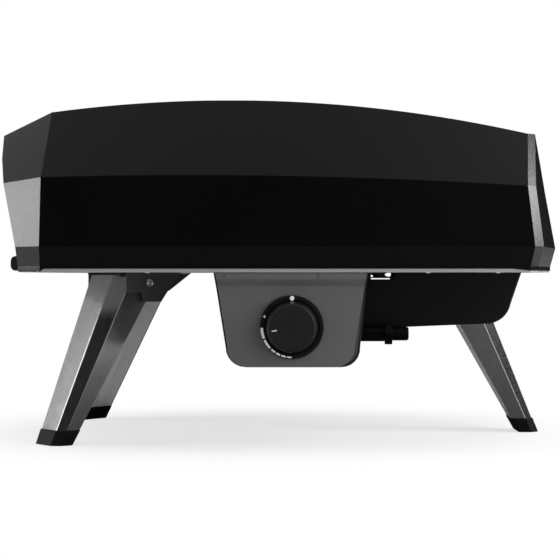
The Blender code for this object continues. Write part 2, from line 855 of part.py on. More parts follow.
def build_burner_box():
    """The box under the hood that holds the burner, with its air gaps."""
    black = material("box_black", (0.018, 0.018, 0.019), 0.5, 0.0)
    tub = outline_solid("burner_box", tub_outline(0, under_base), tub_near_y, tub_far_y, "Y", black)
    inside = tub_outline(thin_sheet, under_base + cut_overrun)
    cut(tub, outline_solid("burner box cutter", inside, tub_near_y + thin_sheet, tub_far_y - thin_sheet,
                           "Y", cutter=True))
    gap_left = tub_left + air_gap_offset
    cut(tub, box("air gap cutter", (gap_left, tub_near_y - cut_overrun, under_base - air_gap_depth),
                 (gap_left + air_gap_length, tub_far_y + cut_overrun, under_base + cut_overrun),
                 cutter=True))
    cut(tub, rod("venturi way cutter", (tub_left - wall_overrun, burner_y, burner_z),
                 (tub_left + wall_overrun, burner_y, burner_z), venturi_radius + clearance, round_steps,
                 cutter=True))
    for name, y, z in (("ignition lead way cutter", electrode_y, ignition_lead_z),
                       ("probe lead way cutter", probe_y, probe_lead_z)):
        cut(tub, rod(name, (tub_left - wall_overrun, y, z), (tub_left + wall_overrun, y, z),
                     lead_radius + clearance, small_steps, cutter=True))


def build_burner():
    """The burner tube on two saddles, with its mixer, jet, gas pipe, spark rod and flame probe."""
    steel = material("burner_steel", (0.45, 0.43, 0.40), 0.4, 1.0)
    burner_length = flame_slot_right - flame_slot_left
    inner = burner_radius - burner_wall
    profile = [(0, burner_length), (burner_radius, burner_length), (burner_radius, 0), (inner, 0),
               (inner, burner_length - burner_wall), (0, burner_length - burner_wall)]
    burner = turned("burner_tube", profile, (flame_slot_left, burner_y, burner_z), toward_x, steel)
    cut(burner, box("flame port cutter",
                    (flame_slot_left + burner_port_margin, burner_y - burner_port_width / 2,
                     burner_z + burner_radius - burner_port_depth),
                    (flame_slot_right - burner_port_margin, burner_y + burner_port_width / 2,
                     burner_z + burner_radius + wall_overrun), cutter=True))

    cast = material("mixer_cast", (0.35, 0.35, 0.36), 0.5, 1.0)
    venturi_start = flame_slot_left - clearance - venturi_length
    bore = venturi_radius - venturi_wall
    profile = [(venturi_radius, venturi_length), (venturi_radius, 0), (bore, 0), (bore, venturi_length)]
    turned("venturi_tube", profile, (venturi_start, burner_y, burner_z), toward_x, cast)

    brass = material("brass", (0.72, 0.52, 0.22), 0.3, 1.0)
    injector_start = venturi_start - clearance - injector_length
    rod("gas_injector", (injector_start, burner_y, burner_z),
        (venturi_start - clearance, burner_y, burner_z), injector_radius, 6, brass)

    aluminium = material("gas_pipe_aluminium", (0.6, 0.6, 0.6), 0.35, 1.0)
    route = rounded_route([(knob_x, valve_back_y + clearance, knob_z), (knob_x, burner_y, knob_z),
                           (knob_x, burner_y, burner_z), (injector_start - clearance, burner_y, burner_z)],
                          gas_pipe_bend_radius)
    wire("gas_pipe", route, gas_pipe_radius, aluminium)

    bright = material("bracket_steel", (0.5, 0.5, 0.5), 0.38, 1.0)
    for name, x in (("burner_saddle_left", between(flame_slot_left, flame_slot_right, saddle_reach_share)),
                    ("burner_saddle_right", between(flame_slot_right, flame_slot_left, saddle_reach_share))):
        foot = tub_floor(x) + thin_sheet + 2 * clearance
        cradle = burner_radius + clearance
        outline = [(burner_y - saddle_half_width, foot), (burner_y + saddle_half_width, foot),
                   (burner_y + saddle_half_width, burner_z)]
        outline += arc((burner_y, burner_z), cradle, 0, -180, saddle_arc_steps)
        outline += [(burner_y - saddle_half_width, burner_z)]
        outline_solid(name, outline, x - saddle_thickness / 2, x + saddle_thickness / 2, "X", bright)

    guard_foot = floor_top + clearance
    box("flame_guard", (flame_slot_left - guard_overlap, guard_y, guard_foot),
        (flame_slot_right + guard_overlap, guard_y + thin_sheet, guard_foot + guard_height), bright)

    ceramic = material("spark_ceramic", (0.85, 0.83, 0.78), 0.3, 0.0)
    electrode_x = between(flame_slot_left, flame_slot_right, electrode_place_share)
    probe_x = between(flame_slot_left, flame_slot_right, probe_place_share)
    foot = tub_floor(electrode_x) + thin_sheet + 2 * clearance
    top = electrode_height + electrode_tip_height
    profile = [(0, top), (electrode_tip_radius, top), (electrode_tip_radius, electrode_height),
               (electrode_radius, electrode_height), (electrode_radius, 0), (0, 0)]
    turned("spark_electrode", profile, (electrode_x, electrode_y, foot), Matrix(), ceramic, small_steps)
    probe_steel = material("probe_steel", (0.6, 0.58, 0.55), 0.3, 1.0)
    foot = tub_floor(probe_x) + thin_sheet + 2 * clearance
    rod("flame_probe", (probe_x, probe_y, foot), (probe_x, probe_y, foot + probe_height), probe_radius,
        small_steps, probe_steel)

    red = material("lead_silicone", (0.35, 0.05, 0.03), 0.5, 0.0)
    igniter_back = panel_face_y + sheet_wall + clearance + igniter_depth
    electrode_side, probe_side = electrode_x - electrode_radius, probe_x - probe_radius
    for name, share, start_x, y, z in (
            ("ignition_lead", ignition_lead_share, electrode_side, electrode_y, ignition_lead_z),
            ("probe_lead", probe_lead_share, probe_side, probe_y, probe_lead_z)):
        end_x = between(igniter_left, igniter_right, share)
        route = [(start_x - clearance, y, z), (end_x, y, z), (end_x, igniter_back + clearance, z)]
        wire(name, rounded_route(route, lead_bend_radius), lead_radius, red)


def panel_rows():
    """Rows of the control panel from its top edge down: height and half width."""
    top = under_base
    bottom = top - panel_depth
    straight = bottom + panel_corner_radius
    lean = (panel_top_half_width - panel_bottom_half_width) / panel_depth

    def half_at(height):
        return panel_top_half_width - (top - height) * lean

    rows = [(height, half_at(height)) for height in (top, top - panel_lip_height,
                                                     top - panel_lip_height - panel_slant_height)]
    corner_x = half_at(straight) - panel_corner_radius
    for x, z in arc((corner_x, straight), panel_corner_radius, 0, -90, panel_corner_steps):
        rows.append((z, x))
    return rows


def panel_front(height):
    """Y of the control panel's face at a height."""
    lip_bottom = under_base - panel_lip_height
    slant_bottom = lip_bottom - panel_slant_height
    if height >= lip_bottom:
        return panel_lip_y
    if height <= slant_bottom:
        return panel_face_y
    return between(panel_face_y, panel_lip_y, (height - slant_bottom) / panel_slant_height)


def build_control_box():
    """The folded control panel and the box behind it."""
    grey = material("panel_grey", (0.105, 0.108, 0.110), 0.5, 0.0)
    rings = []
    for height, half in panel_rows():
        front = panel_front(height)
        back = front + sheet_wall
        rings.append([(panel_x - half, front, height), (panel_x + half, front, height),
                      (panel_x + half, back, height), (panel_x - half, back, height)])
    panel = loft("control_panel", rings, grey)
    stem_way = rod("panel stem cutter", (knob_x, panel_lip_y - cut_overrun, knob_z),
                   (knob_x, panel_face_y + cut_overrun, knob_z), panel_hole_radius, round_steps, cutter=True)
    cut(panel, stem_way)

    dark = material("box_side_black", (0.02, 0.02, 0.021), 0.5, 0.0)
    front = panel_face_y + sheet_wall + clearance
    lip_front = panel_lip_y + sheet_wall + clearance

    def box_rings(wall, back, overrun):
        rings = []
        rows = panel_rows()
        depth = rows[0][0] - rows[-1][0]
        for index, (height, half) in enumerate(rows):
            share = (rows[0][0] - height) / depth
            right = panel_x + half + between(box_right_margin_top, box_right_margin_bottom, share) - wall
            left = panel_x - half - box_left_margin + wall
            level = height + (overrun if index == 0 else wall * share)
            fore = (lip_front if height >= under_base - panel_lip_height else front) - overrun
            rings.append([(left, fore, level), (right, fore, level), (right, back, level),
                          (left, back, level)])
        return rings

    body = loft("control_box", box_rings(0, box_back_y, 0), dark)
    inside = box_rings(thin_sheet, box_back_y - thin_sheet, cut_overrun)
    cut(body, loft("control box cutter", inside, cutter=True))
    cut(body, rod("gas pipe way cutter", (knob_x, box_back_y - wall_overrun, knob_z),
                  (knob_x, box_back_y + wall_overrun, knob_z), gas_pipe_radius + clearance, small_steps,
                  cutter=True))
    cut(body, rod("inlet way cutter", (inlet_end_x - inlet_body_length, inlet_y, inlet_z),
                  (inlet_end_x, inlet_y, inlet_z), inlet_body_radius + clearance, round_steps, cutter=True))
    for name, share, z in (("ignition back cutter", ignition_lead_share, ignition_lead_z),
                           ("probe back cutter", probe_lead_share, probe_lead_z)):
        x = between(igniter_left, igniter_right, share)
        cut(body, rod(name, (x, box_back_y - wall_overrun, z), (x, box_back_y + wall_overrun, z),
                      lead_radius + clearance, small_steps, cutter=True))

    silver = material("screw_steel", (0.6, 0.6, 0.6), 0.25, 1.0)
    for name, offset in zip(("panel_screw_left", "panel_screw_right"), panel_screw_offsets):
        profile = [(0, panel_screw_height), (panel_screw_radius / 2, panel_screw_height),
                   (panel_screw_radius, panel_screw_height / 2), (panel_screw_radius, 0), (0, 0)]
        place = (panel_x + offset, panel_lip_y - clearance, under_base - panel_screw_drop)
        turned(name, profile, place, toward_front, silver, small_steps)


def build_valve():
    """The gas valve with its stem, thrust sleeve and spring, the knob, the bezel and the igniter."""
    axis = (knob_x, 0, knob_z)
    valve_front_y = panel_face_y + sheet_wall + clearance
    brass = material("valve_brass", (0.62, 0.48, 0.24), 0.35, 1.0)
    stem_bore = stem_radius + stem_bore_gap
    sleeve_bore = sleeve_outer_radius + clearance
    spring_floor_y = sleeve_back_y + clearance + spring_length + clearance
    stem_end_y = stem_tail_y + knob_travel + clearance
    outer = [(0, -valve_front_y), (valve_radius, -valve_front_y),
             (valve_radius, valve_neck_length - valve_back_y), (valve_neck_radius, -valve_back_y),
             (0, -valve_back_y)]
    body = turned("valve_body", outer, axis, toward_front, brass)
    open_end = cut_overrun - valve_front_y
    bore = [(0, open_end), (sleeve_bore, open_end), (sleeve_bore, -spring_floor_y),
            (stem_bore, -spring_floor_y), (stem_bore, -stem_end_y), (0, -stem_end_y)]
    cut(body, turned("valve bore cutter", bore, axis, toward_front, cutter=True))

    steel = material("stem_steel", (0.6, 0.6, 0.58), 0.3, 1.0)
    rod("valve_stem", (knob_x, stem_tail_y, knob_z), (knob_x, stem_tip_y, knob_z), stem_radius, round_steps,
        steel)
    white = material("sleeve_plastic", (0.75, 0.75, 0.72), 0.5, 0.0)
    inner = stem_radius + sleeve_inner_gap
    profile = [(sleeve_outer_radius, -sleeve_front_y), (sleeve_outer_radius, -sleeve_back_y),
               (inner, -sleeve_back_y), (inner, -sleeve_front_y)]
    turned("thrust_sleeve", profile, axis, toward_front, white)

    coil_radius = (sleeve_outer_radius + inner) / 2
    turns = int(spring_turns * spring_points_per_turn)
    points = []
    run = spring_length - 2 * spring_wire_radius
    for index in range(turns + 1):
        angle = 2 * math.pi * index / spring_points_per_turn
        y = sleeve_back_y + clearance + spring_wire_radius + run * index / turns
        points.append((knob_x + coil_radius * math.cos(angle), y, knob_z + coil_radius * math.sin(angle)))
    wire("knob_spring", points, spring_wire_radius, steel)

    black = material("bezel_black", (0.015, 0.015, 0.016), 0.45, 0.0)
    seat = -panel_face_y + clearance
    rim, floor = seat + bezel_rim, seat + bezel_floor
    profile = [(bezel_recess_radius, rim), (bezel_radius, rim), (bezel_radius, seat),
               (panel_hole_radius, seat), (panel_hole_radius, floor), (bezel_recess_radius, floor)]
    turned("knob_bezel", profile, axis, toward_front, black, 48)

    knob_plastic = material("knob_black", (0.02, 0.02, 0.021), 0.35, 0.0)
    back = -knob_back_y
    front = back + knob_height
    socket = sleeve_outer_radius + clearance
    socket_top = -sleeve_front_y + clearance
    stem_socket = stem_radius + clearance
    stem_top = -stem_tip_y + clearance
    profile = [(0, front), (knob_face_radius - knob_edge_round, front),
               (knob_face_radius, front - knob_edge_round), (knob_radius, back), (socket, back),
               (socket, socket_top), (stem_socket, socket_top), (stem_socket, stem_top), (0, stem_top)]
    knob = turned("control_knob", profile, axis, toward_front, knob_plastic, 48)
    angle = math.radians(90 + knob_pointer_turn)
    outer = knob_face_radius - knob_edge_round - clearance
    middle = outer - knob_pointer_length / 2
    half_length_of_mark, half_width_of_mark = knob_pointer_length / 2, knob_pointer_width / 2
    pointer = box("pointer cutter", (-half_length_of_mark, -knob_pointer_depth, -half_width_of_mark),
                  (half_length_of_mark, cut_overrun, half_width_of_mark), cutter=True)
    pointer.matrix_world = (Matrix.Translation((knob_x + middle * math.cos(angle), knob_back_y - knob_height
                                                - cut_overrun / 2 + knob_pointer_depth,
                                                knob_z + middle * math.sin(angle)))
                            @ Matrix.Rotation(-angle, 4, "Y"))
    cut(knob, pointer)

    module = material("igniter_case", (0.04, 0.04, 0.045), 0.5, 0.0)
    box("spark_igniter", (igniter_left, valve_front_y, igniter_bottom),
        (igniter_right, valve_front_y + igniter_depth, igniter_bottom + igniter_height), module)


def build_inlet():
    """The gas inlet: tube and body, collar and threaded nipple."""
    dark = material("inlet_black", (0.02, 0.02, 0.02), 0.4, 0.3)
    tube_start = knob_x + valve_radius + clearance
    body_start = inlet_end_x - inlet_body_length
    axis = (0, inlet_y, inlet_z)
    profile = [(0, inlet_end_x), (inlet_body_radius, inlet_end_x), (inlet_body_radius, body_start),
               (inlet_tube_radius, body_start), (inlet_tube_radius, tube_start), (0, tube_start)]
    turned("inlet_body", profile, axis, toward_x, dark)

    nipple_start = inlet_end_x + clearance
    collar_end = nipple_start + collar_length
    bore = nipple_root_radius + clearance
    bevel = collar_length * collar_bevel_share
    profile = [(collar_radius - bevel, collar_end), (collar_radius, collar_end - bevel),
               (collar_radius, nipple_start + bevel), (collar_radius - bevel, nipple_start),
               (bore, nipple_start), (bore, collar_end)]
    turned("inlet_collar", profile, axis, toward_x, dark)

    nipple_end = collar_end + nipple_length
    pitch = (nipple_length - clearance) / (thread_ridges + 1)
    profile = [(nipple_bore_radius, nipple_end), (nipple_core_radius, nipple_end)]
    for ridge in range(thread_ridges):
        top = nipple_end - pitch * (ridge + 1 / 2)
        profile += [(nipple_core_radius, top), (nipple_radius, top - pitch * ridge_crest_start_share),
                    (nipple_radius, top - pitch * ridge_crest_end_share),
                    (nipple_core_radius, top - pitch * ridge_foot_share)]
    profile += [(nipple_core_radius, collar_end + clearance), (nipple_root_radius, collar_end + clearance),
                (nipple_root_radius, nipple_start), (nipple_bore_radius, nipple_start)]
    turned("inlet_nipple", profile, axis, toward_x, dark, 24)


def leg_section(height, grow=0.0):
    """Leg section at a height above the floor, from one free edge round the web to the other.

    Points are (outward, tangential) from the web's middle at the floor.
    """
    share = (height - leg_section_low) / (leg_section_high - leg_section_low)
    web = between(leg_web_low, leg_web_high, share) / 2
    chamfer = between(leg_chamfer_low, leg_chamfer_high, share)
    flange = between(leg_flange_low, leg_flange_high, share)
    outer = -leg_slope_share * height
    corner = math.tan(math.radians(22.5))
    half = [(outer + grow, web + grow * corner), (outer - chamfer + grow * corner, web + chamfer + grow),
            (outer - chamfer - flange - grow, web + chamfer + grow)]
    return [(out, -side) for out, side in reversed(half)] + half


def leg_place(point, height):
    """A leg point relative to the hinge pin: outward, tangential and up."""
    return (point[0] + pivot_inset, point[1], height - pivot_z)


def leg_parts(prefix, turn, ground_x, ground_y, surfaces):
    """One leg with its foot cap, hinge bracket, pin and two stop pads."""
    zinc, rubber, dark, bright = surfaces
    outward = Vector((math.cos(turn), math.sin(turn), 0))
    frame = Matrix.Rotation(turn, 4, "Z")
    pivot = Vector((ground_x, ground_y, pivot_z)) - outward * pivot_inset
    placing = Matrix.Translation(pivot) @ frame
    leg_top = ground_clearance - leg_top_gap
    leg_low = cap_floor + clearance + leg_wall * leg_slope_share
    levels = (leg_low, leg_top)
    rings = [[leg_place(point, height) for point in leg_section(height)] for height in levels]
    leg = loft(prefix + "_leg", rings, zinc, caps=False, closed=False)
    face_inward(leg, Vector((-pivot_inset / 2, 0, -pivot_z / 2)))
    solidify(leg, leg_wall)
    leg.matrix_world = placing

    top_rise = leg_top - pivot_z
    start = math.degrees(math.asin(top_rise / knuckle_radius))
    corner = [(-across, up) for across, up in arc((0, 0), knuckle_radius, start, 0, knuckle_steps)]
    above = top_rise + cut_overrun
    corner += [(-pivot_inset, 0), (-pivot_inset, above), (corner[0][0], above)]
    span = ear_half_span + cut_overrun
    knuckle = outline_solid(prefix + " knuckle cutter", corner, -span, span, "Y", cutter=True)
    knuckle.matrix_world = placing
    cut(leg, knuckle)
    hole = rod(prefix + " pin hole cutter", placing @ Vector((0, -span, 0)), placing @ Vector((0, span, 0)),
               pin_radius + pin_hole_gap, small_steps, cutter=True)
    cut(leg, hole)

    def cap_rings(grow, low, high):
        return [[leg_place(point, height) for point in leg_section(height, grow)] for height in (low, high)]

    outer = cap_rings(clearance + cap_wall, 0, cap_height)
    cap = loft(prefix + "_foot", outer, rubber)
    cap.matrix_world = placing
    inner = loft(prefix + " foot cutter", cap_rings(clearance, cap_floor, cap_height + cut_overrun),
                 cutter=True)
    inner.matrix_world = placing
    cut(cap, inner)

    rise = under_base - pivot_z
    ear = [(ear_outward_reach, rise), (ear_outward_reach, -ear_outward_drop),
           (ear_step_outward, -ear_outward_drop), (ear_nose_outward, -ear_nose_drop),
           (-ear_nose_inward, -ear_nose_drop), (-ear_heel_inward, -ear_heel_drop),
           (-ear_inward_reach, rise)]
    ear_outside = ear_half_span + ear_wall
    bracket = outline_solid(prefix + "_bracket", ear, -ear_outside, ear_outside, "Y", dark)
    bracket.matrix_world = placing
    between_ears = box(prefix + " bracket cutter",
                       (-ear_inward_reach - cut_overrun, -ear_half_span, -ear_nose_drop - cut_overrun),
                       (ear_outward_reach + cut_overrun, ear_half_span, rise - ear_wall), cutter=True)
    between_ears.matrix_world = placing @ Matrix.Translation(between_ears.location)
    cut(bracket, between_ears)
    window = box(prefix + " window cutter", (-bridge_start, -ear_half_span, -ear_wall),
                 (ear_outward_reach + cut_overrun, ear_half_span, rise + cut_overrun), cutter=True)
    window.matrix_world = placing @ Matrix.Translation(window.location)
    cut(bracket, window)
    past = -ear_inward_reach - cut_overrun
    below = -ear_nose_drop - cut_overrun
    waste = [(ear_outward_reach + cut_overrun, -plain_ear_drop), (-plain_ear_inward, -plain_ear_drop),
             (-ear_inward_reach, rise), (past, rise), (past, below),
             (ear_outward_reach + cut_overrun, below)]
    trim = outline_solid(prefix + " plain ear cutter", waste, -ear_outside - cut_overrun, -ear_half_span / 2,
                         "Y", cutter=True)
    trim.matrix_world = placing
    cut(bracket, trim)
    cut(bracket, hole)

    reach = ear_outside + clearance
    end = reach + pin_head_height
    crown = pin_head_radius * pin_crown_share
    shoulder = end - pin_head_height * pin_shoulder_share
    half = [(0, end), (crown, end), (pin_head_radius, shoulder), (pin_head_radius, reach),
            (pin_radius, reach)]
    profile = half + [(radius, -along) for radius, along in reversed(half)]
    turned(prefix + "_pin", profile, pivot, frame @ Matrix.Rotation(math.radians(-90), 4, "X"), bright,
           small_steps)

    for side, sign in (("left", -1), ("right", 1)):
        pad = box(prefix + "_stop_pad_" + side, (0, 0, 0), (pad_length, pad_width, pad_height), rubber)
        place = Vector((pad_outward, sign * pad_offset, under_base - pad_height / 2 - pivot_z))
        pad.matrix_world = placing @ Matrix.Translation(place)


def build_legs():
    """Three folding legs: two splayed at the mouth end and one at the rear."""
    surfaces = (material("leg_zinc", (0.46, 0.47, 0.48), 0.38, 1.0),
                material("foot_rubber", (0.02, 0.02, 0.02), 0.6, 0.0),
                material("hinge_black", (0.03, 0.03, 0.031), 0.45, 0.2),
                material("pin_steel", (0.65, 0.65, 0.65), 0.25, 1.0))
    turn = math.radians(front_leg_turn)
    front_x = front_leg_end_inset - half_length
    front_y = half_width - front_leg_side_inset
    leg_parts("front_near", math.pi + turn, front_x, -front_y, surfaces)
    leg_parts("front_far", math.pi - turn, front_x, front_y, surfaces)
    leg_parts("rear", 0, half_length - rear_leg_inset, 0, surfaces)


def main():
    """Builds the whole oven."""
    clear_scene()
    build_hood()
    build_base()
    build_stone()
    build_burner_box()
    build_burner()
    build_control_box()
    build_valve()
    build_inlet()
    build_legs()
    bpy.context.view_layer.update()


main()
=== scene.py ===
"""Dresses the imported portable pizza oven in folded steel, powder coat, zinc and stone.

Every length is in metres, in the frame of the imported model: +Z is up, the feet stand at
Z = 0, the mouth faces -X and the control box hangs on the -Y side.
"""
import logging
import math
from collections.abc import Callable
from dataclasses import dataclass
from enum import Enum
from functools import cache
from typing import Any

import bmesh
import bpy
from mathutils import Matrix, Vector


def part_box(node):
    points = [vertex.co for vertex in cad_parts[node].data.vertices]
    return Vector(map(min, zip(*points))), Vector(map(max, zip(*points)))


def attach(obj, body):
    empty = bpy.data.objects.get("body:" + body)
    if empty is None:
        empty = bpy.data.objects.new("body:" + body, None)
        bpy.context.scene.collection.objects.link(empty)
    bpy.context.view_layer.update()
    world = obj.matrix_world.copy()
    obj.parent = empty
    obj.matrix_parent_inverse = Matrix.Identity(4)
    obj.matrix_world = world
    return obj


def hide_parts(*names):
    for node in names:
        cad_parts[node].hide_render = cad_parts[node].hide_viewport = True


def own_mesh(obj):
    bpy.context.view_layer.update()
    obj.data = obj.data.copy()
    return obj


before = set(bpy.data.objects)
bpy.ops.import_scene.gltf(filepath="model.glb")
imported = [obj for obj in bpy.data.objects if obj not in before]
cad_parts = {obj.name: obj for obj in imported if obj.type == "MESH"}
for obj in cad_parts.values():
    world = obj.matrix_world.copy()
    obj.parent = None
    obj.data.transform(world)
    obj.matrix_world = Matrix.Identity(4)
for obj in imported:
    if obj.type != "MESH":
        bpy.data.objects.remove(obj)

log = logging.getLogger("pizza_oven")

Pair = tuple[float, float]
Point = tuple[float, float, float]
Colour = tuple[float, float, float]

# Sizes that several pieces share
SHEET = 0.0015
GAP = 0.0003
OVERRUN = 0.01
PANEL_FACE_Y = -0.2140
KNOB_AXIS: Pair = (0.01015, 0.1222)
BURNER_AXIS: Pair = (-0.1400, 0.1450)
KNOB_STEM_HOLE = 0.0075


class Axis(Enum):
    """The direction in which an outline is given its depth."""

    X = "x"
    Y = "y"
    Z = "z"

    def point(self, first: float, second: float, along: float) -> Point:
        """Turns outline coordinates and a depth into a point."""
        if self is Axis.X:
            return (along, first, second)
        if self is Axis.Y:
            return (first, along, second)
        return (first, second, along)


class Facing(Enum):
    """Which way the axis of a turned piece points."""

    UP = "up"
    RIGHT = "right"
    FRONT = "front"

    def matrix(self) -> Matrix:
        """The turn that takes +Z to this direction."""
        if self is Facing.RIGHT:
            return Matrix.Rotation(math.radians(90), 4, "Y")
        if self is Facing.FRONT:
            return Matrix.Rotation(math.radians(90), 4, "X")
        return Matrix.Identity(4)


def operator(operation: str, reflected: bool = False) -> Callable[["Value", Any], "Value"]:
    """Makes an operator that adds one Math node to a value's graph.

    Args:
        operation: The node's operation.
        reflected: Whether the value stands on the right.

    Returns:
        The method of the operator.
    """
    def method(value: "Value", other: Any) -> "Value":
        """Adds the node on a value and a number or another value."""
        first, second = (other, value) if reflected else (value, other)
        return value.graph.value("ShaderNodeMath", {"operation": operation}, {0: first, 1: second})

    return method


class Value:
    """One output of a node, whose operators add Math nodes to its graph."""

    def __init__(self, graph: "Graph", socket: bpy.types.NodeSocket) -> None:
        """Keeps the graph and the output socket."""
        self.graph = graph
        self.socket = socket

    __add__, __radd__ = operator("ADD"), operator("ADD", reflected=True)
    __sub__, __rsub__ = operator("SUBTRACT"), operator("SUBTRACT", reflected=True)
    __mul__, __rmul__ = operator("MULTIPLY"), operator("MULTIPLY", reflected=True)
    largest = operator("MAXIMUM")

    def __abs__(self) -> "Value":
        """The value without its sign."""
        return self.graph.value("ShaderNodeMath", {"operation": "ABSOLUTE"}, {0: self})

    def ramped(self, low: float, high: float) -> "Value":
        """A smooth step from 0 at one value to 1 at another.

        Args:
            low: The value that gives 0.
            high: The value that gives 1.

        Returns:
            A value between 0 and 1.
        """
        settings = {"interpolation_type": "SMOOTHSTEP", "clamp": True}
        return self.graph.value("ShaderNodeMapRange", settings,
                                {"Value": self, "From Min": low, "From Max": high})


class Graph:
    """A node tree and the one method that adds nodes to it."""

    def __init__(self, tree: bpy.types.NodeTree) -> None:
        """Keeps the node tree."""
        self.tree = tree

    def add(self, kind: str, settings: dict[str, Any] | None = None,
            inputs: dict[str | int, Any] | None = None) -> bpy.types.Node:
        """Adds a node of any type.

        Args:
            kind: The node's type.
            settings: Its own settings, such as an operation.
            inputs: Values or links for its sockets, by name or by place.

        Returns:
            The new node.
        """
        node = self.tree.nodes.new(kind)
        for key, setting in (settings or {}).items():
            setattr(node, key, setting)
        for key, wanted in (inputs or {}).items():
            if isinstance(wanted, Value):
                self.link(wanted, node, key)
            else:
                node.inputs[key].default_value = wanted
        return node

    def value(self, kind: str, settings: dict[str, Any] | None = None,
              inputs: dict[str | int, Any] | None = None, output: str | int = 0) -> Value:
        """Adds a node and returns one of its outputs."""
        return Value(self, self.add(kind, settings, inputs).outputs[output])

    def link(self, source: Value, node: bpy.types.Node, socket: str | int) -> None:
        """Links a value to a node's input."""
        self.tree.links.new(source.socket, node.inputs[socket])

    def rays(self, *kinds: str) -> list[Value]:
        """Whether a ray is of each kind, from one Light Path node."""
        path = self.add("ShaderNodeLightPath")
        return [Value(self, path.outputs[f"Is {kind} Ray"]) for kind in kinds]


class Paint(Graph):
    """The node tree of one material."""

    pattern_mean = 0.5

    def __init__(self, material: bpy.types.Material) -> None:
        """Starts from the material's own Principled shader."""
        material.use_nodes = True
        super().__init__(material.node_tree)
        self.shader = self.tree.nodes["Principled BSDF"]
        self.place = self.value("ShaderNodeTexCoord", output="Object")

    def stretched(self, scale: Point) -> Value:
        """Object coordinates scaled along each axis."""
        return self.value("ShaderNodeMapping", None, {"Vector": self.place, "Scale": scale})

    def noise(self, scale: float, detail: float = 2.0, roughness: float = 0.5,
              place: Value | None = None, output: str | int = 0) -> Value:
        """Noise from 0 to 1 on object coordinates.

        Args:
            scale: How fine the pattern is.
            detail: How many finer octaves are added.
            roughness: How strong those octaves are.
            place: Other coordinates for the pattern.
            output: The output of the node, such as its colour.

        Returns:
            The noise.
        """
        inputs = {"Vector": place or self.place, "Scale": scale, "Detail": detail, "Roughness": roughness}
        return self.value("ShaderNodeTexNoise", None, inputs, output)

    def cells(self, scale: float, output: str, place: Value | None = None) -> Value:
        """A cell pattern on object coordinates: its colour or its distance."""
        return self.value("ShaderNodeTexVoronoi", {"feature": "F1"},
                          {"Vector": place or self.place, "Scale": scale}, output)

    def blend(self, share: Value, low: Colour, high: Colour) -> Value:
        """A colour between two colours."""
        return self.value("ShaderNodeMix", {"data_type": "RGBA"},
                          {0: share, 6: (*low, 1.0), 7: (*high, 1.0)}, 2)

    def over(self, share: Value, low: Value, high: Colour) -> Value:
        """A colour laid over a coloured value."""
        return self.value("ShaderNodeMix", {"data_type": "RGBA"}, {0: share, 6: low, 7: (*high, 1.0)}, 2)

    def colour(self, source: Value) -> None:
        """Feeds the base colour."""
        self.link(source, self.shader, "Base Color")

    def rough(self, level: float, *patterns: tuple[Value, float]) -> None:
        """Feeds the roughness: a level that each pattern varies by its own spread."""
        for pattern, spread in patterns:
            level = level + (pattern - self.pattern_mean) * spread
        self.link(level, self.shader, "Roughness")

    def relief(self, height: Value, depth: float) -> None:
        """Feeds the normal from a height."""
        bump = self.value("ShaderNodeBump", None, {"Height": height, "Distance": depth, "Strength": 1.0})
        self.link(bump, self.shader, "Normal")


def lighter(colour: Colour, share: float) -> Colour:
    """A colour scaled by one plus a share."""
    return tuple(min(1.0, part * (1 + share)) for part in colour)


@dataclass(frozen=True)
class Finish:
    """A surface finish: its plain values, and how much darker and paler its pattern goes."""

    name: str
    colour: Colour
    roughness: float
    metallic: float = 0.0
    specular: float = 0.5
    contrast: Pair = (0.10, 0.10)

    def material(self) -> bpy.types.Material:
        """The finish as a material, made once."""
        found = bpy.data.materials.get(self.name)
        if found:
            return found
        made = bpy.data.materials.new(self.name)
        paint = Paint(made)
        paint.shader.inputs["Metallic"].default_value = self.metallic
        paint.shader.inputs["Specular IOR Level"].default_value = self.specular
        self.lay(paint)
        return made

    def shade(self, paint: Paint, tone: Value) -> Value:
        """The finish's colour, darker where a tone is low and paler where it is high."""
        darker, paler = self.contrast
        return paint.blend(tone, lighter(self.colour, -darker), lighter(self.colour, paler))

    def lay(self, paint: Paint) -> None:
        """Lays the finish's pattern, which each kind of finish has of its own."""
        raise NotImplementedError


@dataclass(frozen=True)
class PowderCoat(Finish):
    """Baked powder paint with a fine orange-peel skin."""

    grain: float = 1400.0
    depth: float = 0.00005
    cloud: float = 9.0
    cloud_gloss: float = 0.07
    grain_gloss: float = 0.10
    fleck_grain: float = 2.2
    fleck_edge: Pair = (0.56, 0.74)
    fleck_share: float = 0.16
    fleck_shade: float = 1.2

    def lay(self, paint: Paint) -> None:
        """Lays the paint's fleck, its uneven gloss and its skin."""
        fine = paint.noise(self.grain, 3.0)
        broad = paint.noise(self.cloud, 3.0)
        fleck = paint.noise(self.grain * self.fleck_grain, 1.0).ramped(*self.fleck_edge)
        paint.colour(paint.over(fleck * self.fleck_share, self.shade(paint, broad),
                                lighter(self.colour, self.fleck_shade)))
        paint.rough(self.roughness, (broad, self.cloud_gloss), (fine, self.grain_gloss))
        paint.relief(fine, self.depth)


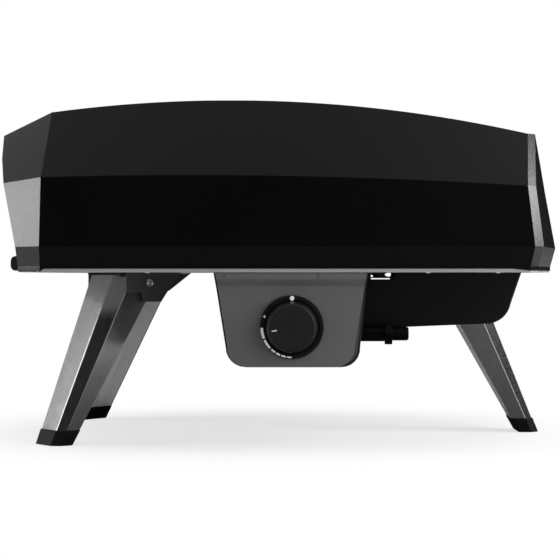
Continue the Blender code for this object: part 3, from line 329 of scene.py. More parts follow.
@dataclass(frozen=True)
class ZincSheet(Finish):
    """Hot-dip zinc with its frost-like crystals."""

    contrast: Pair = (0.14, 0.14)
    crystal: float = 420.0
    small_crystal: float = 3.1
    large_share: float = 0.6
    crystal_share: float = 0.55
    streak: float = 26.0
    gloss_spread: float = 0.05
    bend_scale: float = 90.0
    bend: float = 0.006
    skin: float = 1400.0
    skin_depth: float = 0.000012

    def lay(self, paint: Paint) -> None:
        """Lays crystals of two sizes, each with its own shade and gloss."""
        bent = paint.noise(self.bend_scale, output="Color")
        shifted = paint.value("ShaderNodeVectorMath", {"operation": "MULTIPLY_ADD"},
                              {0: bent, 1: (self.bend,) * 3, 2: paint.place}, "Vector")
        scales = (self.crystal, self.crystal * self.small_crystal)
        colours = [paint.cells(scale, "Color", shifted) for scale in scales]
        large, small = (paint.value("ShaderNodeSeparateColor", None, {"Color": colour}, part)
                        for colour, part in zip(colours, ("Red", "Green")))
        shade = large * self.large_share + small * (1 - self.large_share)
        streaks = paint.noise(self.streak, 4.0)
        paint.colour(self.shade(paint, shade * self.crystal_share + streaks * (1 - self.crystal_share)))
        paint.rough(self.roughness, (shade, self.gloss_spread))
        paint.relief(paint.noise(self.skin, 3.0), self.skin_depth)


@dataclass(frozen=True)
class BrushedSteel(Finish):
    """Stainless sheet with its grain along one axis."""

    contrast: Pair = (0.16, 0.14)
    grain: Point = (40.0, 2400.0, 2400.0)
    cloud: float = 14.0
    line_share: float = 0.6
    line_gloss: float = 0.16
    cloud_gloss: float = 0.08
    depth: float = 0.00002

    def lay(self, paint: Paint) -> None:
        """Lays long grain lines and a faint cloud of handling."""
        line = paint.noise(1.0, 2.0, place=paint.stretched(self.grain))
        cloud = paint.noise(self.cloud, 3.0)
        paint.colour(self.shade(paint, line * self.line_share + cloud * (1 - self.line_share)))
        paint.rough(self.roughness, (line, self.line_gloss), (cloud, self.cloud_gloss))
        paint.relief(line, self.depth)


@dataclass(frozen=True)
class HeatedSteel(Finish):
    """Steel with the straw, bronze and blue bands that heat leaves."""

    tint: Colour = (0.40, 0.26, 0.13)
    blue: Colour = (0.16, 0.19, 0.30)
    patch: float = 7.0
    straw_edge: Pair = (0.42, 0.62)
    blue_edge: Pair = (0.60, 0.74)
    blue_share: float = 0.55
    patch_gloss: float = 0.12
    grain: float = 600.0
    grain_gloss: float = 0.06
    depth: float = 0.00003

    def lay(self, paint: Paint) -> None:
        """Lays tempering colours in soft patches."""
        broad = paint.noise(self.patch, 3.0)
        fine = paint.noise(self.grain, 2.0)
        straw = paint.blend(broad.ramped(*self.straw_edge), self.colour, self.tint)
        paint.colour(paint.over(broad.ramped(*self.blue_edge) * self.blue_share, straw, self.blue))
        paint.rough(self.roughness, (broad, self.patch_gloss), (fine, self.grain_gloss))
        paint.relief(fine, self.depth)


@dataclass(frozen=True)
class FiredStone(Finish):
    """Pressed cordierite: sandy, speckled and finely pored."""

    contrast: Pair = (0.20, 0.14)
    speck: Colour = (0.30, 0.22, 0.15)
    toast: Colour = (0.52, 0.38, 0.24)
    grain: float = 420.0
    cloud: float = 11.0
    speck_scale: float = 330.0
    toast_edge: Pair = (0.5, 0.72)
    toast_share: float = 0.45
    speck_edge: Pair = (0.10, 0.26)
    speck_sand: Pair = (0.45, 0.62)
    gloss_spread: float = 0.1
    pore_edge: Pair = (0.05, 0.3)
    pore_share: float = 0.6
    depth: float = 0.00025

    def lay(self, paint: Paint) -> None:
        """Lays sand, dark specks, pores and a faint toasting."""
        sand = paint.noise(self.grain, 4.0, 0.7)
        cloud = paint.noise(self.cloud, 4.0)
        specks = paint.cells(self.speck_scale, "Distance")
        browned = cloud.ramped(*self.toast_edge) * self.toast_share
        toasted = paint.over(browned, self.shade(paint, sand), self.toast)
        dark = (1 - specks.ramped(*self.speck_edge)) * sand.ramped(*self.speck_sand)
        paint.colour(paint.over(dark, toasted, self.speck))
        paint.rough(self.roughness, (sand, self.gloss_spread))
        paint.relief(sand + specks.ramped(*self.pore_edge) * self.pore_share, self.depth)


@dataclass(frozen=True)
class Moulded(Finish):
    """Moulded plastic or rubber with a fine spark-eroded grain."""

    contrast: Pair = (0.14, 0.14)
    grain: float = 2200.0
    depth: float = 0.00003
    cloud: float = 35.0
    grain_share: float = 0.5
    grain_gloss: float = 0.12
    cloud_gloss: float = 0.06

    def lay(self, paint: Paint) -> None:
        """Lays the grain and a soft variation in gloss."""
        fine = paint.noise(self.grain, 2.0)
        broad = paint.noise(self.cloud, 2.0)
        paint.colour(self.shade(paint, fine * self.grain_share + broad * (1 - self.grain_share)))
        paint.rough(self.roughness, (fine, self.grain_gloss), (broad, self.cloud_gloss))
        paint.relief(fine, self.depth)


@dataclass(frozen=True)
class Fibre(Finish):
    """Mineral board or ceramic wool with its tangled surface."""

    contrast: Pair = (0.22, 0.12)
    strand: Point = (260.0, 900.0, 500.0)
    cloud: float = 24.0
    strand_share: float = 0.7
    gloss_spread: float = 0.1
    depth: float = 0.0004

    def lay(self, paint: Paint) -> None:
        """Lays long tangled strands."""
        tangle = paint.noise(1.0, 5.0, 0.75, paint.stretched(self.strand))
        broad = paint.noise(self.cloud, 3.0)
        paint.colour(self.shade(paint, tangle * self.strand_share + broad * (1 - self.strand_share)))
        paint.rough(self.roughness, (tangle, self.gloss_spread))
        paint.relief(tangle, self.depth)


class Finishes:
    """The oven's finishes by name."""

    hood = PowderCoat("powder_coat_satin_black", (0.0016, 0.0016, 0.0017), 0.28, specular=0.42)
    lip = PowderCoat("powder_coat_lip_black", (0.014, 0.014, 0.015), 0.42)
    panel = PowderCoat("powder_coat_panel_grey", (0.103, 0.104, 0.104), 0.46, depth=0.00007)
    box_side = PowderCoat("powder_coat_box_black", (0.0240, 0.0240, 0.0245), 0.50, specular=0.35)
    burner_box = PowderCoat("enamel_burner_box_black", (0.0045, 0.0045, 0.0047), 0.46, specular=0.22)
    # Also laid on the panel's side return, where its darker grey is painted shade in the recess behind the
    # panel's edge
    hinge = PowderCoat("powder_coat_hinge_grey_and_return_shade", (0.048, 0.048, 0.049), 0.46)
    leg = ZincSheet("zinc_leg_sheet", (0.46, 0.462, 0.465), 0.20, 0.97)
    # A pale, nearly diffuse copy of the leg zinc for the channel's inner faces: painted bounce light where
    # the channel is in shade
    leg_inside_painted_bounce = ZincSheet("zinc_leg_inside_painted_bounce_light", (0.80, 0.802, 0.805), 0.55, 0.05)
    tray = ZincSheet("zinc_tray_sheet", (0.52, 0.522, 0.525), 0.42, 0.50, contrast=(0.08, 0.08),
                     crystal=300.0)
    sleeve = BrushedSteel("brushed_mouth_steel", (0.52, 0.52, 0.51), 0.30, 1.0)
    rail = BrushedSteel("brushed_rail_steel", (0.46, 0.46, 0.45), 0.36, 1.0)
    liner = HeatedSteel("heat_tinted_liner_steel", (0.44, 0.40, 0.35), 0.36, 1.0)
    burner = HeatedSteel("heat_tinted_burner_steel", (0.42, 0.40, 0.37), 0.34, 1.0)
    stone = FiredStone("fired_cordierite", (0.60, 0.50, 0.385), 0.88)
    knob = Moulded("moulded_knob_black", (0.0124, 0.0124, 0.0127), 0.40, specular=0.40)
    bezel = Moulded("moulded_bezel_black", (0.0060, 0.0060, 0.0062), 0.42, specular=0.40)
    foot = Moulded("rubber_foot_black", (0.0025, 0.0025, 0.0026), 0.62, specular=0.25, grain=900.0,
                   depth=0.00006)
    pad = Moulded("rubber_pad_black", (0.010, 0.010, 0.010), 0.60, grain=900.0)
    inlet = Moulded("blackened_brass_inlet", (0.0012, 0.0012, 0.0012), 0.40, specular=0.16, grain=700.0)
    ink = Moulded("printed_white", (0.93, 0.93, 0.92), 0.55, grain=1600.0)
    pointer = Moulded("printed_pale_grey", (0.60, 0.60, 0.59), 0.55, grain=1600.0)
    bolt = BrushedSteel("turned_bolt_steel", (0.82, 0.82, 0.81), 0.17, 1.0, grain=(900.0, 900.0, 900.0))
    stem = BrushedSteel("turned_stem_steel", (0.56, 0.56, 0.55), 0.30, 1.0, grain=(900.0, 60.0, 900.0))
    brass = BrushedSteel("turned_brass", (0.66, 0.47, 0.19), 0.30, 1.0, grain=(900.0, 60.0, 900.0))
    aluminium = BrushedSteel("drawn_aluminium", (0.60, 0.60, 0.60), 0.34, 1.0, grain=(300.0, 300.0, 300.0))
    cast = ZincSheet("cast_mixer_metal", (0.33, 0.33, 0.34), 0.52, 1.0, contrast=(0.12, 0.12), crystal=800.0)
    ceramic = Moulded("glazed_ceramic", (0.80, 0.78, 0.72), 0.28, grain=500.0)
    sleeve_plastic = Moulded("moulded_white_sleeve", (0.70, 0.70, 0.67), 0.45)
    igniter = Moulded("moulded_igniter_case", (0.035, 0.035, 0.038), 0.50)
    lead = Moulded("silicone_lead_red", (0.32, 0.045, 0.03), 0.48)
    wool = Fibre("ceramic_wool", (0.76, 0.74, 0.68), 0.95)
    board = Fibre("mineral_floor_board", (0.68, 0.65, 0.58), 0.92)


def arc(centre: Pair, radius: float, start: float, end: float, steps: int) -> list[Pair]:
    """Points on an arc between two angles in degrees, both ends included."""
    angles = [math.radians(start + (end - start) * step / steps) for step in range(steps + 1)]
    return [(centre[0] + radius * math.cos(angle), centre[1] + radius * math.sin(angle)) for angle in angles]


def between(low: float, high: float, share: float) -> float:
    """The value a share of the way from low to high."""
    return low + (high - low) * share


def rounded(outline: list[Pair], radius: float, steps: int = 4, closed: bool = True) -> list[Pair]:
    """Rounds the corners of an outline.

    Args:
        outline: Its corners in order.
        radius: The corner radius, less where an edge is short.
        steps: Segments per corner.
        closed: False keeps both end points sharp.

    Returns:
        The points of the rounded outline.
    """
    straight, edge_share = math.radians(88), 0.45
    points: list[Pair] = []
    count = len(outline)
    for index, corner in enumerate(outline):
        if not closed and index in (0, count - 1):
            points.append(corner)
            continue
        here = Vector(corner)
        back, ahead = Vector(outline[index - 1]) - here, Vector(outline[(index + 1) % count]) - here
        half = back.angle(ahead) / 2
        if half > straight:
            points.append(corner)
            continue
        reach = min(radius / math.tan(half), back.length * edge_share, ahead.length * edge_share)
        start, end = here + back.normalized() * reach, here + ahead.normalized() * reach
        for step in range(steps + 1):
            share = step / steps
            point = start * (1 - share) ** 2 + here * 2 * share * (1 - share) + end * share ** 2
            points.append((point.x, point.y))
    return points


class Shape:
    """A mesh under construction, with its place in its vertices."""

    seam_distance = 1e-7
    node_seam_distance = 2e-6
    flat_angle = math.radians(0.4)

    def __init__(self) -> None:
        """Starts empty."""
        self.mesh = bmesh.new()

    @classmethod
    def loft(cls, rings: list[list[Point]], caps: bool = True, closed: bool = True) -> "Shape":
        """Skins a row of rings.

        Args:
            rings: Rings with equal numbers of points.
            caps: Whether the first and last ring are filled.
            closed: Whether each ring joins up.

        Returns:
            The shape with its faces outward.
        """
        shape = cls()
        rows = [[shape.mesh.verts.new(point) for point in ring] for ring in rings]
        shape.skin(rows, closed)
        if caps:
            shape.mesh.faces.new(rows[0][::-1])
            shape.mesh.faces.new(rows[-1])
        return shape.outward()

    @classmethod
    def prism(cls, outline: list[Pair], low: float, high: float, axis: Axis) -> "Shape":
        """Gives a flat outline its depth along an axis."""
        return cls.loft([[axis.point(first, second, level) for first, second in outline]
                         for level in (low, high)])

    @classmethod
    def block(cls, low: Point, high: Point) -> "Shape":
        """A straight block between two corners."""
        outline = [(low[0], low[1]), (high[0], low[1]), (high[0], high[1]), (low[0], high[1])]
        return cls.prism(outline, low[2], high[2], Axis.Z)

    @classmethod
    def revolved(cls, profile: list[Pair], place: Point, facing: Facing = Facing.UP, steps: int = 64,
                 extra: Matrix | None = None) -> "Shape":
        """Turns a profile about its axis.

        Args:
            profile: Radius and distance along the axis, from axis to axis or as a closed ring.
            place: Where the axis starts.
            facing: Which way the axis points.
            steps: Segments round the axis.
            extra: A further placing, applied last.

        Returns:
            The closed shape.
        """
        ring = profile[0][0] > 0
        points = profile + [profile[0]] if ring else profile
        angles = [2 * math.pi * step / steps for step in range(steps)]
        rings = [[(radius * math.cos(angle), radius * math.sin(angle), along) for angle in angles]
                 for radius, along in points]
        shape = cls.loft(rings, caps=False)
        bmesh.ops.remove_doubles(shape.mesh, verts=shape.mesh.verts, dist=cls.seam_distance)
        placing = (extra or Matrix.Identity(4)) @ Matrix.Translation(place) @ facing.matrix()
        return shape.moved(placing).outward()

    @classmethod
    def rod(cls, radius: float, ends: Pair, place: Point, facing: Facing, steps: int,
            extra: Matrix | None = None) -> "Shape":
        """A plain round bar between two distances along its axis."""
        start, end = ends
        profile = [(0.0, start), (radius, start), (radius, end), (0.0, end)]
        return cls.revolved(profile, place, facing, steps, extra)

    @classmethod
    def copied(cls, node: str) -> "Shape":
        """A CAD node's mesh with its vertices merged and its flat faces joined."""
        shape = cls()
        shape.mesh.from_mesh(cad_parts[node].data)
        bmesh.ops.remove_doubles(shape.mesh, verts=shape.mesh.verts, dist=cls.node_seam_distance)
        bmesh.ops.dissolve_limit(shape.mesh, angle_limit=cls.flat_angle, verts=shape.mesh.verts,
                                 edges=shape.mesh.edges)
        return shape.outward()

    def skin(self, rows: list[list[bmesh.types.BMVert]], closed: bool = True) -> None:
        """Fills the quads between rows of vertices."""
        count = len(rows[0])
        for low, high in zip(rows, rows[1:]):
            for index in range(count if closed else count - 1):
                after = (index + 1) % count
                self.mesh.faces.new((low[index], low[after], high[after], high[index]))

    def moved(self, placing: Matrix) -> "Shape":
        """Places the shape by a matrix."""
        bmesh.ops.transform(self.mesh, matrix=placing, verts=self.mesh.verts)
        return self

    def outward(self) -> "Shape":
        """Turns every face outward."""
        bmesh.ops.recalc_face_normals(self.mesh, faces=self.mesh.faces)
        return self

    def away_from(self, middle: Point) -> "Shape":
        """Turns each face of an open skin away from a point."""
        for face in self.mesh.faces:
            face.normal_update()
        wrong = [face for face in self.mesh.faces
                 if face.normal.dot(face.calc_center_median() - Vector(middle)) < 0]
        bmesh.ops.reverse_faces(self.mesh, faces=wrong)
        return self

    def data(self, name: str) -> bpy.types.Mesh:
        """The shape as mesh data; the working mesh is freed."""
        made = bpy.data.meshes.new(name)
        self.mesh.to_mesh(made)
        self.mesh.free()
        return made


def link_object(name: str, data: bpy.types.ID | None) -> bpy.types.Object:
    """Adds an object to the scene."""
    made = bpy.data.objects.new(name, data)
    bpy.context.scene.collection.objects.link(made)
    return made


def smooth(data: bpy.types.Mesh) -> None:
    """Shades every face of a mesh smooth."""
    for face in data.polygons:
        face.use_smooth = True


def plain_mesh(piece: bpy.types.Object) -> bpy.types.Mesh:
    """The mesh that an object's modifiers give."""
    bpy.context.view_layer.update()
    graph = bpy.context.evaluated_depsgraph_get()
    return bpy.data.meshes.new_from_object(piece.evaluated_get(graph), preserve_all_data_layers=True,
                                           depsgraph=graph)


class Blank:
    """A piece in the making: a shape with the steps that finish it."""

    def __init__(self, name: str, shape: Shape, finish: Finish) -> None:
        """Makes the object and gives it its finish."""
        data = shape.data(name)
        data.materials.append(finish.material())
        smooth(data)
        self.piece = link_object(name, data)
        self.cutters: list[bpy.types.Object] = []

    def _step(self, kind: str, **settings: Any) -> "Blank":
        """Adds a modifier with its settings."""
        step = self.piece.modifiers.new(kind.lower(), kind)
        for key, setting in settings.items():
            setattr(step, key, setting)
        return self

    def wall(self, thickness: float) -> "Blank":
        """Gives an open skin its wall, on the inner side."""
        return self._step("SOLIDIFY", thickness=thickness, offset=-1, use_even_offset=True)

    def lined_wall(self, thickness: float, lining: Finish) -> "Blank":
        """Gives an open skin its wall, with another finish on the inner side."""
        self.piece.data.materials.append(lining.material())
        self.wall(thickness)
        self.piece.modifiers[-1].material_offset = 1
        return self

    def cut(self, *shapes: Shape) -> "Blank":
        """Cuts closed shapes away, one after another."""
        for shape in shapes:
            cutter = link_object(self.piece.name + "_cutter", shape.data(self.piece.name + "_cutter"))
            smooth(cutter.data)
            self.cutters.append(cutter)
            self._step("BOOLEAN", operation="DIFFERENCE", solver="EXACT", object=cutter)
        return self

    def soften(self, width: float, segments: int = 2, angle: float = 25.0) -> "Blank":
        """Rounds every edge sharper than an angle in degrees."""
        return self._step("BEVEL", width=width, segments=segments, limit_method="ANGLE",
                          angle_limit=math.radians(angle), harden_normals=False)

    def settle(self, sharp: float = 34.0) -> bpy.types.Object:
        """Turns the steps into a plain mesh with clean shading.

        Args:
            sharp: Edges over this angle in degrees stay crisp.

        Returns:
            The finished piece.
        """
        self._apply()
        smooth(self.piece.data)
        self.piece.data.set_sharp_from_angle(angle=math.radians(sharp))
        self._step("WEIGHTED_NORMAL", keep_sharp=True, weight=50)
        self._apply()
        for cutter in self.cutters:
            bpy.data.objects.remove(cutter)
        return self.piece

    def _apply(self) -> None:
        """Keeps what the modifiers give and removes them."""
        self.piece.data = plain_mesh(self.piece)
        self.piece.modifiers.clear()


class Repeat(Graph):
    """A geometry node tree with named inputs, run once per piece."""

    socket_types = {int: "NodeSocketInt", float: "NodeSocketFloat", tuple: "NodeSocketVector"}

    def __init__(self, kind: str, finish: Finish, **inputs: Any) -> None:
        """Makes the tree, its inputs and its output.

        Args:
            kind: What the tree makes, for its name.
            finish: The finish of what it makes.
            inputs: Default by input name; its type is the socket's.
        """
        super().__init__(bpy.data.node_groups.new(f"{kind}_{finish.name}", "GeometryNodeTree"))
        self.finish = finish
        face = self.tree.interface
        face.new_socket(name="Body", in_out="INPUT", socket_type="NodeSocketGeometry")
        self.keys: dict[str, str] = {}
        for label, default in inputs.items():
            socket = face.new_socket(name=label, in_out="INPUT", socket_type=self.socket_types[type(default)])
            socket.default_value = default
            self.keys[label] = socket.identifier
        face.new_socket(name="Made", in_out="OUTPUT", socket_type="NodeSocketGeometry")
        self.source = self.add("NodeGroupInput")

    def given(self, *labels: str) -> list[Value]:
        """The values of some of the tree's inputs."""
        return [Value(self, self.source.outputs[label]) for label in labels]

    def row(self) -> Value:
        """A straight row of points, from the inputs Count, First and Step."""
        count, first, step = self.given("Count", "First", "Step")
        return self.value("GeometryNodeMeshLine", {"mode": "OFFSET"},
                          {"Count": count, "Start Location": first, "Offset": step})

    def swept(self, path: Value, section: Value) -> "Repeat":
        """Ends the tree in a section that follows a path."""
        inputs = {"Curve": path, "Profile Curve": section, "Fill Caps": True}
        return self.close(self.value("GeometryNodeCurveToMesh", None, inputs))

    def close(self, geometry: Value) -> "Repeat":
        """Ends the tree in real geometry with its finish."""
        real = self.value("GeometryNodeRealizeInstances", None, {0: geometry})
        painted = self.value("GeometryNodeSetMaterial", None,
                             {"Geometry": real, "Material": self.finish.material()})
        self.add("NodeGroupOutput", None, {0: painted})
        return self

    def run(self, name: str, body: Shape | None = None, placing: Matrix | None = None,
            **values: Any) -> Blank:
        """Runs the tree and keeps the result as a plain mesh.

        Args:
            name: The new piece's name.
            body: The mesh that the tree works on, if it needs one.
            placing: Where the result goes.
            values: Inputs of the tree by name.

        Returns:
            The piece, ready to be settled.
        """
        piece = link_object(name, (body or Shape()).data(name))
        step = piece.modifiers.new("repeat", "NODES")
        step.node_group = self.tree
        for label, wanted in values.items():
            step[self.keys[label]] = wanted
        made = plain_mesh(piece)
        bpy.data.objects.remove(piece)
        made.transform(placing or Matrix.Identity(4))
        shape = Shape()
        shape.mesh.from_mesh(made)
        # The first slot is the body's own and empty, so a piece made on a body shows no finish
        blank = Blank(name, shape, self.finish)
        blank.piece.data.materials.clear()
        blank.piece.data.materials.append(made.materials[0])
        return blank


@cache
def dash_tree(finish: Finish) -> Repeat:
    """A printed dash that follows an arc and tapers along it."""
    tree = Repeat("dash", finish, Radius=0.03, Start=0.0, Sweep=0.3, Width=0.003, EndShare=1.0, Height=0.0002)
    radius, start, sweep, width, end_share, height = tree.given("Radius", "Start", "Sweep", "Width",
                                                                "EndShare", "Height")
    path = tree.value("GeometryNodeCurveArc", {"mode": "RADIUS"},
                      {"Resolution": 14, "Radius": radius, "Start Angle": start, "Sweep Angle": sweep})
    along = tree.value("GeometryNodeSplineParameter", output="Factor")
    sized = tree.value("GeometryNodeSetCurveRadius", None,
                       {"Curve": path, "Radius": 1 + (end_share - 1) * along})
    section = tree.value("GeometryNodeCurvePrimitiveQuadrilateral", None, {"Width": width, "Height": height})
    return tree.swept(sized, section)


@cache
def thread_tree(finish: Finish) -> Repeat:
    """A helical thread ridge."""
    tree = Repeat("thread", finish, Radius=0.0066, Turns=9.0, Length=0.015, Ridge=0.0008)
    radius, turns, length, ridge = tree.given("Radius", "Turns", "Length", "Ridge")
    path = tree.value("GeometryNodeCurveSpiral", None,
                      {"Resolution": 40, "Rotations": turns, "Start Radius": radius, "End Radius": radius,
                       "Height": length})
    section = tree.value("GeometryNodeCurvePrimitiveCircle", {"mode": "RADIUS"},
                         {"Resolution": 6, "Radius": ridge})
    return tree.swept(path, section)


@cache
def ports_tree(finish: Finish) -> Repeat:
    """A body with a straight row of round ports cut through it."""
    tree = Repeat("ports", finish, Count=10, First=(0.0, 0.0, 0.0), Step=(0.01, 0.0, 0.0), Radius=0.001,
                  Depth=0.01, Turn=(0.0, 0.0, 0.0))
    radius, depth, turn, body = tree.given("Radius", "Depth", "Turn", "Body")
    drill = tree.value("GeometryNodeMeshCylinder", None, {"Vertices": 14, "Radius": radius, "Depth": depth})
    drills = tree.value("GeometryNodeInstanceOnPoints", None,
                        {"Points": tree.row(), "Instance": drill, "Rotation": turn})
    solid = tree.value("GeometryNodeRealizeInstances", None, {0: drills})
    cut = tree.value("GeometryNodeMeshBoolean", {"operation": "DIFFERENCE", "solver": "EXACT"},
                     {"Mesh 1": body, "Mesh 2": solid}, "Mesh")
    return tree.close(cut)


@cache
def studs_tree(finish: Finish) -> Repeat:
    """A straight row of one small body, such as a rivet head."""
    tree = Repeat("studs", finish, Count=2, First=(0.0, 0.0, 0.0), Step=(0.01, 0.0, 0.0))
    body, = tree.given("Body")
    inputs = {"Points": tree.row(), "Instance": body}
    return tree.close(tree.value("GeometryNodeInstanceOnPoints", None, inputs))


def place_piece(piece: bpy.types.Object, body: str, *nodes: str, slot: str = "") -> bpy.types.Object:
    """Lets a finished piece ride on a body and stand for its CAD nodes.

    Args:
        piece: The finished piece.
        body: The body that carries it.
        nodes: CAD nodes it stands for, which are hidden.
        slot: Material slot of a piece that stands for no node; not used.

    Returns:
        The piece.
    """
    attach(piece, body)
    if nodes:
        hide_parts(*nodes)
    log.info("%s rides on %s, %d faces", piece.name, body, len(piece.data.polygons))
    return piece


def refine_node(node: str, name: str, finish: Finish, edge: float, angle: float = 30.0) -> None:
    """Stands a copy of an oven node, with its edges rounded, in the node's place.

    Args:
        node: The CAD node.
        name: The new piece's name.
        finish: Its finish.
        edge: How wide its edges are rounded.
        angle: Edges sharper than this many degrees are rounded.
    """
    blank = Blank(name, Shape.copied(node), finish).soften(edge, 2, angle)
    place_piece(blank.settle(), "oven", node)


def dress_nodes(finishes: dict[str, Finish]) -> None:
    """Gives carried-over CAD nodes their finishes."""
    for node, finish in finishes.items():
        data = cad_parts[node].data
        data.materials.clear()
        data.materials.append(finish.material())
        log.info("%s keeps its shape and is dressed in %s", node, finish.name)


@dataclass
class Hood:
    """The faceted steel hood, cut open for the mouth.

    Its five folds run round the hood from the foot to the roof edge. Shares of a height, a half
    length or a half width are given for each fold.
    """

    length: float = 0.5860
    width: float = 0.4700
    height: float = 0.1685
    camber: float = 0.0100
    wall: float = SHEET
    fold: float = 0.0017
    fold_angle: float = 7.0
    sharp_angle: float = 20.0
    columns: int = 29
    front_steps: int = 4
    edge_steps: int = 3
    level_shares: tuple[float, ...] = (0.0, 0.117, 0.5395, 0.7237, 1.0)
    side_width_shares: tuple[float, ...] = (0.957, 1.0, 0.945, 0.8905, 0.8085)
    side_front_shares: tuple[float, ...] = (-0.820, -0.818, -0.818, -0.8085, -0.794)
    side_rear_shares: tuple[float, ...] = (0.844, 0.8546, 0.836, 0.842, 0.851)
    face_height_shares: tuple[float, ...] = (0.0, 0.117, 0.506, 0.666, 0.814)
    face_x_shares: tuple[float, ...] = (-0.907, -0.9137, -0.970, -0.9867, -0.992)
    face_width_shares: tuple[float, ...] = (0.851, 0.872, 0.745, 0.650, 0.553)
    corner_height_shares: tuple[float, ...] = (0.0, 0.117, 0.476, 0.604, 0.7964)
    corner_x_shares: tuple[float, ...] = (0.875, 0.889, 0.868, 0.873, 0.8805)
    corner_width_shares: tuple[float, ...] = (0.919, 0.962, 0.906, 0.8515, 0.770)
    panel_height_shares: tuple[float, ...] = (0.0, 0.117, 0.470, 0.620, 0.844)
    panel_x_shares: tuple[float, ...] = (0.981, 1.0, 0.9625, 0.948, 0.926)
    panel_width_share: float = 0.383
    crown_share: float = -0.1765
    roof_droop: float = 0.190
    belt_peak: float = -0.313
    belt_droop: float = 0.0481
    front_camber_share: float = 0.50

    # Places of the upper three folds in the rows above
    belt_fold = 2
    shoulder_fold = 3
    roof_fold = 4

    def __post_init__(self) -> None:
        """Reads the hood's foot and crown from the CAD."""
        low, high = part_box("outer_shell")
        self.bottom = low.z
        self.top = high.z
        self.half_length = self.length / 2
        self.half_width = self.width / 2

    def rise(self, share: float) -> float:
        """Height of a share of the hood above its foot."""
        return self.bottom + self.height * share

    def roof_edge(self, x: float) -> float:
        """Height of the long roof edge at x."""
        droop = self.roof_droop * ((x - self.crown_share * self.half_length) / self.half_length) ** 2
        return min(self.rise(1 - droop), self.top - self.camber)

    def belt(self, x: float) -> float:
        """Height of the belt fold at x."""
        droop = self.belt_droop * ((x - self.belt_peak * self.half_length) / self.half_length) ** 2
        return self.rise(self.level_shares[self.belt_fold] - droop)

    def face_x(self, height: float) -> float:
        """X of the front face at a height."""
        heights = [self.rise(share) for share in self.face_height_shares]
        places = [share * self.half_length for share in self.face_x_shares]
        for low, high, start, end in zip(heights, heights[1:], places, places[1:]):
            if height <= high:
                return between(start, end, (height - low) / (high - low))
        return places[-1]

    def side_height(self, fold: int, x: float) -> float:
        """Height of one fold of the near side panel at x."""
        if fold == self.roof_fold:
            return self.roof_edge(x)
        if fold == self.shoulder_fold:
            belt_share = self.level_shares[self.belt_fold]
            split = (self.level_shares[fold] - belt_share) / (1 - belt_share)
            return between(self.belt(x), self.roof_edge(x), split)
        return self.belt(x) if fold == self.belt_fold else self.rise(self.level_shares[fold])

    def half_ring(self, fold: int) -> list[Vector]:
        """Points of one fold from the front middle round the near side to the rear middle."""
        face_y = self.face_width_shares[fold] * self.half_width
        face_x = self.face_x_shares[fold] * self.half_length
        face_z = self.rise(self.face_height_shares[fold])
        camber = self.camber * self.front_camber_share if fold == self.roof_fold else 0.0
        points = []
        for step in range(self.front_steps + 1):
            share = step / self.front_steps
            points.append(Vector((face_x, -face_y * share, face_z + camber * (1 - share ** 2))))
        for column in range(self.columns):
            share = column / (self.columns - 1)
            x = between(self.side_front_shares[fold], self.side_rear_shares[fold], share) * self.half_length
            y = -self.side_width_shares[fold] * self.half_width
            points.append(Vector((x, y, self.side_height(fold, x))))
        points.append(Vector((self.corner_x_shares[fold] * self.half_length,
                              -self.corner_width_shares[fold] * self.half_width,
                              self.rise(self.corner_height_shares[fold]))))
        panel_x = self.panel_x_shares[fold] * self.half_length
        panel_z = self.rise(self.panel_height_shares[fold])
        for step in range(self.front_steps + 1):
            share = 1 - step / self.front_steps
            points.append(Vector((panel_x, -self.panel_width_share * self.half_width * share, panel_z)))
        return points

    def roof_row(self, edge: Vector) -> list[Vector]:
        """Points across the roof from its near edge to its middle."""
        inner = self.panel_width_share * self.half_width
        rows = [between(-edge.y, inner, step / self.edge_steps) for step in range(self.edge_steps)]
        rows += [inner * (1 - step / self.front_steps) for step in range(self.front_steps + 1)]
        return [Vector((edge.x, -y, edge.z + self.camber * (1 - (y / edge.y) ** 2))) for y in rows]

    def skin(self) -> Shape:
        """The hood's outer skin, open below."""
        shape = Shape()
        rings = []
        for fold in range(len(self.level_shares)):
            near = self.half_ring(fold)
            if fold == 0:
                for point in near:
                    point.z = self.bottom
            far = [Vector((point.x, -point.y, point.z)) for point in near[-2:0:-1]]
            rings.append([shape.mesh.verts.new(point) for point in near + far])
        shape.skin(rings)
        self.roof(shape.mesh, rings[-1])
        return shape.outward()

    def roof(self, mesh: bmesh.types.BMesh, edge: list[bmesh.types.BMVert]) -> None:
        """Fills the roof edge with rows across the roof and closes both of its ends.

        Args:
            mesh: The mesh of the skin.
            edge: The roof edge from the front middle round the near side.
        """
        steps, count, rear = self.front_steps, len(edge), len(edge) // 2
        rows = []
        for column in range(self.columns):
            near_vert = edge[steps + 1 + column]
            far_vert = edge[(-steps - 1 - column) % count]
            across = self.roof_row(near_vert.co)
            middle = [mesh.verts.new(point) for point in across[1:]]
            mirror = [mesh.verts.new((point.x, -point.y, point.z)) for point in across[-2:0:-1]]
            rows.append([near_vert] + middle + mirror + [far_vert])
        for low, high in zip(rows, rows[1:]):
            for index in range(len(low) - 1):
                mesh.faces.new((low[index], high[index], high[index + 1], low[index + 1]))
        front_rim = [edge[(steps - step) % count] for step in range(2 * steps + 1)]
        rear_rim = [edge[rear - steps + step] for step in range(2 * steps + 1)]
        for row, rim in ((rows[0], front_rim), (rows[-1], rear_rim)):
            for index in range(self.edge_steps):
                mesh.faces.new((row[index], row[index + 1], rim[0]))
                mesh.faces.new((row[-1 - index], row[-2 - index], rim[-1]))
            for index in range(2 * steps):
                start = self.edge_steps + index
                mesh.faces.new((row[start], row[start + 1], rim[index + 1], rim[index]))
        mesh.faces.new((rows[-1][0], edge[rear - steps - 1], rear_rim[0]))
        mesh.faces.new((rows[-1][-1], edge[rear + steps + 1], rear_rim[-1]))

